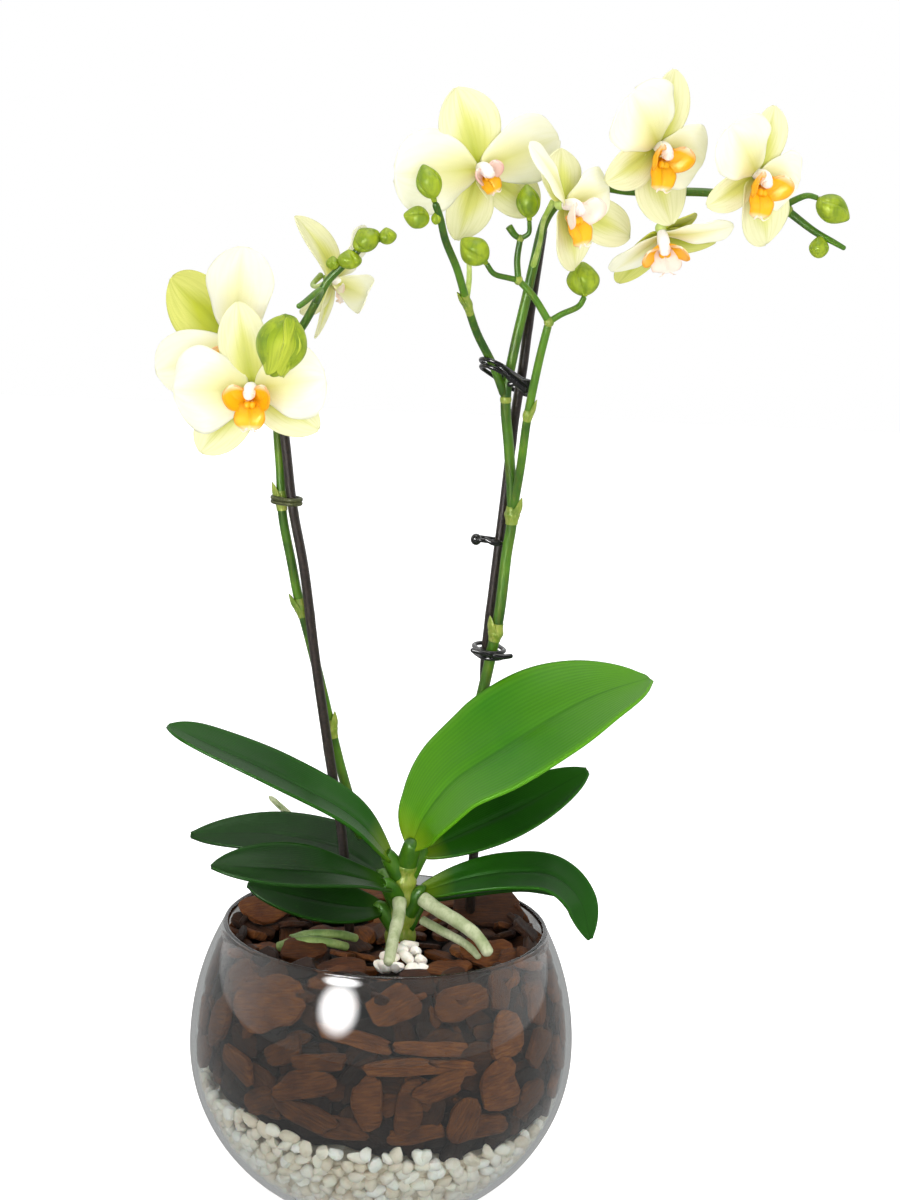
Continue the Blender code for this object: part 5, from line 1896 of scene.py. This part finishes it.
def flowers() -> list[Flower]:
    """The eight flowers, left to right."""
    def blades(*rows: tuple) -> tuple[BladeSpec, ...]:
        """Name the blades in their order."""
        kinds = ("dorsal", "left", "right", "low_left", "low_right")
        return tuple(BladeSpec(kind, *row) for kind, row in zip(kinds, rows))
    return [
        Flower("flower_left_front", (-74, -34, 427), -6, -8, 93, blades(
            (101, 42, -3, 12.5, 2, 0.15), (184, 39, 1, 22, 3, -0.05), (12, 37, 1, 19, 3, -0.05),
            (233, 45, -4, 12.5, 2, 0.15), (326, 38, -6, 12, 2, 0.15))),
        Flower("flower_left_rear", (-85, 4, 443), -25, 5, 140, blades(
            (145, 53, -2, 17, 2, 0.15), (201, 48, 2, 16, 2, 0.0), (89, 49, 2, 19, 3, 0.0),
            (240, 33, -4, 13, 2, 0.15), (340, 18, -4, 10, 2, 0.15)), limes=("dorsal",)),
        Flower("flower_left_side", (-38, 24, 475), 72, -18, 100, blades(
            (110, 26, -26, 11, 5, 0.2), (170, 19, 24, 10, 5, 0.1), (66, 32, 2, 15, 2, 0.0),
            (228, 24, -5, 10, 2, 0.1), (285, 34, -1, 7, 1, 0.1)), lip_size=0.50,
            lobe_finish=LIP_WHITE, tongue_finish=LIP_WHITE),
        Flower("flower_middle", (32, -18, 536), 28, -4, 118, blades(
            (110, 40, -3, 16.5, 2, 0.15), (184, 46, 0, 21, 3, -0.05), (22, 44, 2, 17, 2, -0.05),
            (258, 36, -2, 12.5, 2, 0.15), (332, 42, -3, 12, 2, 0.15)), lip_size=0.66,
            lobe_finish=LIP_PINK),
        Flower("flower_mid_low", (74, -30, 521), 48, -6, 98, blades(
            (92, 26, -5, 14, 0, 0.0), (140, 46, 2, 9, 4, 0.0, 35), (20, 26, 5, 14, 2, 0.0),
            (298, 36, -1, 13, 2, 0.15), (343, 55, 2, 11, 3, 0.1)), lobe_finish=LIP_WHITE),
        Flower("flower_right_top", (117, -22, 550), 34, -16, 85, blades(
            (85, 37, -3, 12, 2, 0.15), (135, 39, 5, 20, 3, 0.0), (347, 28, 3, 17, 1, 0.0),
            (221, 30, -3, 12, 2, 0.15), (294, 42, 5, 15, -3, 0.05))),
        Flower("flower_right_end", (165, -24, 539), 34, -16, 82, blades(
            (82, 33, -3, 11, 2, 0.15), (138, 38, 5, 17, 3, 0.0), (353, 25, 3, 15, 1, 0.0),
            (219, 28, -3, 10, 2, 0.15), (301, 44, -4, 14, 2, 0.15))),
        Flower("flower_hanging", (123, 0, 507), 12, -52, 108, blades(
            (332, 37, -5, 11, 2, 0.1), (243, 38, 0, 8, 1, 0.05), (24, 35, 3, 9, 2, 0.1),
            (262, 56, -5, 9, 1, 0.05), (2, 19, -9, 8, 1, 0.05)),
            tongue_finish=LIP_WHITE, limes=("dorsal", "low_left", "low_right")),
    ]


# ---------------------------------------------------------------------- studio
@dataclass
class Studio:
    """Camera, paper, soft lights and a white surround."""

    eye: Vector = field(default_factory=lambda: Vector((0.0263, -1.3, 0.5927)))
    pitch: float = 11.887
    roll: float = 2.43
    lens: float = 78.7
    glow: float = 34.0          # strength of the window seen in reflections
    fill: float = 0.68          # strength of the white surround on matt surfaces
    paper_glow: float = 0.62    # what lifts the paper to pure white in view
    paper_mirrored: float = 0.40

    def camera(self) -> None:
        """Set the camera a little above the flowers, looking slightly down."""
        data = bpy.data.cameras.new("camera")
        data.sensor_fit = "VERTICAL"
        data.sensor_height = 36.0
        data.lens = self.lens
        data.clip_start = 0.01
        obj = bpy.data.objects.new("camera", data)
        bpy.context.scene.collection.objects.link(obj)
        p, r = math.radians(self.pitch), math.radians(self.roll)
        ahead = Vector((0.0, math.cos(p), -math.sin(p)))
        right, up = Vector((1, 0, 0)), Vector((0.0, math.sin(p), math.cos(p)))
        x = right * math.cos(r) + up * math.sin(r)
        y = up * math.cos(r) - right * math.sin(r)
        turn = Matrix((x, y, -ahead)).transposed().to_4x4()
        obj.matrix_world = Matrix.Translation(self.eye) @ turn
        bpy.context.scene.camera = obj

    def light(self, name: str, place: Point, target: Point, size: float,
              power: float, mirrored: bool = False) -> None:
        """A round soft light.

        Args:
            name: the light's name.
            place: where it stands.
            target: what it faces.
            size: its diameter.
            power: its watts.
            mirrored: whether it shows in reflections and through the glass.
        """
        data = bpy.data.lights.new(name, "AREA")
        data.shape = "DISK"
        data.size = size
        data.energy = power
        obj = bpy.data.objects.new(name, data)
        bpy.context.scene.collection.objects.link(obj)
        obj.visible_glossy = mirrored
        obj.visible_transmission = mirrored
        aim = Vector(target) - Vector(place)
        obj.matrix_world = (Matrix.Translation(place)
                            @ aim.to_track_quat("-Z", "Y").to_matrix().to_4x4())

    def softbox(self, place: Point, radius: float) -> None:
        """A round window seen only in reflections, bright in the middle and soft at its edge.

        Args:
            place: where it stands.
            radius: its radius.
        """
        deselect()
        bpy.ops.mesh.primitive_circle_add(vertices=64, radius=radius, fill_type="NGON",
                                          location=place)
        obj = added("softbox")
        aim = Vector((0, 0, 0.1)) - Vector(place)
        obj.rotation_euler = aim.to_track_quat("-Z", "Y").to_euler()
        material = bpy.data.materials.new("window_glow")
        material.use_nodes = True
        tree = material.node_tree
        tree.nodes.clear()
        spot = add(tree, "ShaderNodeTexCoord").outputs["Object"]
        reach = add(tree, "ShaderNodeVectorMath", {0: spot}, operation="LENGTH")
        fade = add(tree, "ShaderNodeMapRange", {0: reach.outputs["Value"], 1: radius * 0.45,
                                                2: radius, 3: self.glow, 4: 0.0},
                   interpolation_type="SMOOTHSTEP")
        shine = add(tree, "ShaderNodeEmission", {0: rgb("FFFFFF"), 1: fade.outputs[0]})
        add(tree, "ShaderNodeOutputMaterial", {0: shine.outputs[0]})
        obj.data.materials.append(material)
        obj.visible_camera = obj.visible_diffuse = obj.visible_transmission = False
        obj.visible_shadow = False

    def surround(self) -> None:
        """White all round; only reflections see a room that is darker in front of the bowl."""
        world = bpy.data.worlds.new("surround")
        bpy.context.scene.world = world
        world.use_nodes = True
        tree = world.node_tree
        tree.nodes.clear()
        way = add(tree, "ShaderNodeTexCoord").outputs["Generated"]
        parts = add(tree, "ShaderNodeSeparateXYZ", {0: way})
        room = remap(tree, parts.outputs[1], (-0.75, 0.15), (0.0, 1.0))
        tone = ramp(tree, room, ((0.0, "505253"), (0.5, "9C9E9E"), (0.8, "FFFFFF")))
        seen = add(tree, "ShaderNodeBackground", {0: rgb("FFFFFF"), 1: 1.0})
        path = add(tree, "ShaderNodeLightPath")
        even = add(tree, "ShaderNodeBackground", {0: rgb("FFFFFF"), 1: self.fill})
        mirrored = add(tree, "ShaderNodeBackground", {0: tone, 1: 1.0})
        lit = add(tree, "ShaderNodeMixShader", {0: path.outputs["Is Glossy Ray"],
                                                1: even.outputs[0], 2: mirrored.outputs[0]})
        direct = maths(tree, "MAXIMUM", path.outputs["Is Camera Ray"],
                       path.outputs["Is Transmission Ray"])
        mixed = add(tree, "ShaderNodeMixShader", {0: direct,
                                                  1: lit.outputs[0], 2: seen.outputs[0]})
        add(tree, "ShaderNodeOutputWorld", {0: mixed.outputs[0]})

    def floor(self) -> None:
        """A sheet of white paper under the bowl, pure white in view and dimmer in reflections."""
        deselect()
        bpy.ops.mesh.primitive_plane_add(size=6.0, location=(0, 0, 0))
        obj = added("paper")
        bpy.ops.object.mode_set(mode="EDIT")
        bpy.ops.mesh.select_all(action="SELECT")
        bpy.ops.mesh.subdivide(number_cuts=6)
        bpy.ops.object.mode_set(mode="OBJECT")
        coat(obj, PAPER)
        tree = obj.data.materials[0].node_tree
        out = next(n for n in tree.nodes if n.bl_idname == "ShaderNodeOutputMaterial")
        paper = out.inputs[0].links[0].from_socket
        shine = add(tree, "ShaderNodeEmission", {0: rgb("FFFFFF"), 1: self.paper_glow})
        both = add(tree, "ShaderNodeAddShader", {0: paper, 1: shine.outputs[0]})
        path = add(tree, "ShaderNodeLightPath")
        seen = add(tree, "ShaderNodeMixShader", {0: path.outputs["Is Camera Ray"], 1: paper,
                                                 2: both.outputs[0]})
        dim = add(tree, "ShaderNodeEmission", {0: rgb("FFFFFF"), 1: self.paper_mirrored})
        final = add(tree, "ShaderNodeMixShader", {0: path.outputs["Is Glossy Ray"],
                                                  1: seen.outputs[0], 2: dim.outputs[0]})
        tree.links.new(final.outputs[0], out.inputs[0])

    def build(self) -> None:
        """Set up the studio."""
        self.camera()
        self.surround()
        self.floor()
        self.light("window", (-0.53, -1.06, 0.64), (0, 0, 0.2), 0.56, 2.4)
        self.softbox((-0.53, -1.06, 0.57), 0.33)
        self.light("overhead", (0.1, -0.3, 1.9), (0, 0, 0.3), 1.2, 11.0, True)
        self.light("left_side", (-1.4, -0.5, 0.9), (0, 0, 0.35), 0.9, 3.0)
        self.light("right_side", (1.3, -0.9, 0.85), (0.08, 0, 0.45), 0.9, 6.8)
        self.light("front_fill", (0.25, -1.7, 0.45), (0, 0, 0.02), 0.9, 9.0)
        scene = bpy.context.scene
        scene.view_settings.view_transform = "Standard"
        scene.view_settings.look = "None"
        scene.view_settings.exposure = 0.0


def main() -> None:
    """Build every piece in order."""
    logging.basicConfig(level=logging.INFO, format="%(name)s %(message)s")
    Studio().build()
    Bowl().build()
    PebbleBed().build()
    BarkBed().build()
    Crown().build()
    Leaves().build()
    Roots().build()
    Stakes().build()
    blooms = {flower.name: flower for flower in flowers()}
    Spikes().build(blooms)
    Clips().build()
    Buds().build()
    for bloom in blooms.values():
        bloom.build()


if __name__ == "__main__":
    main()
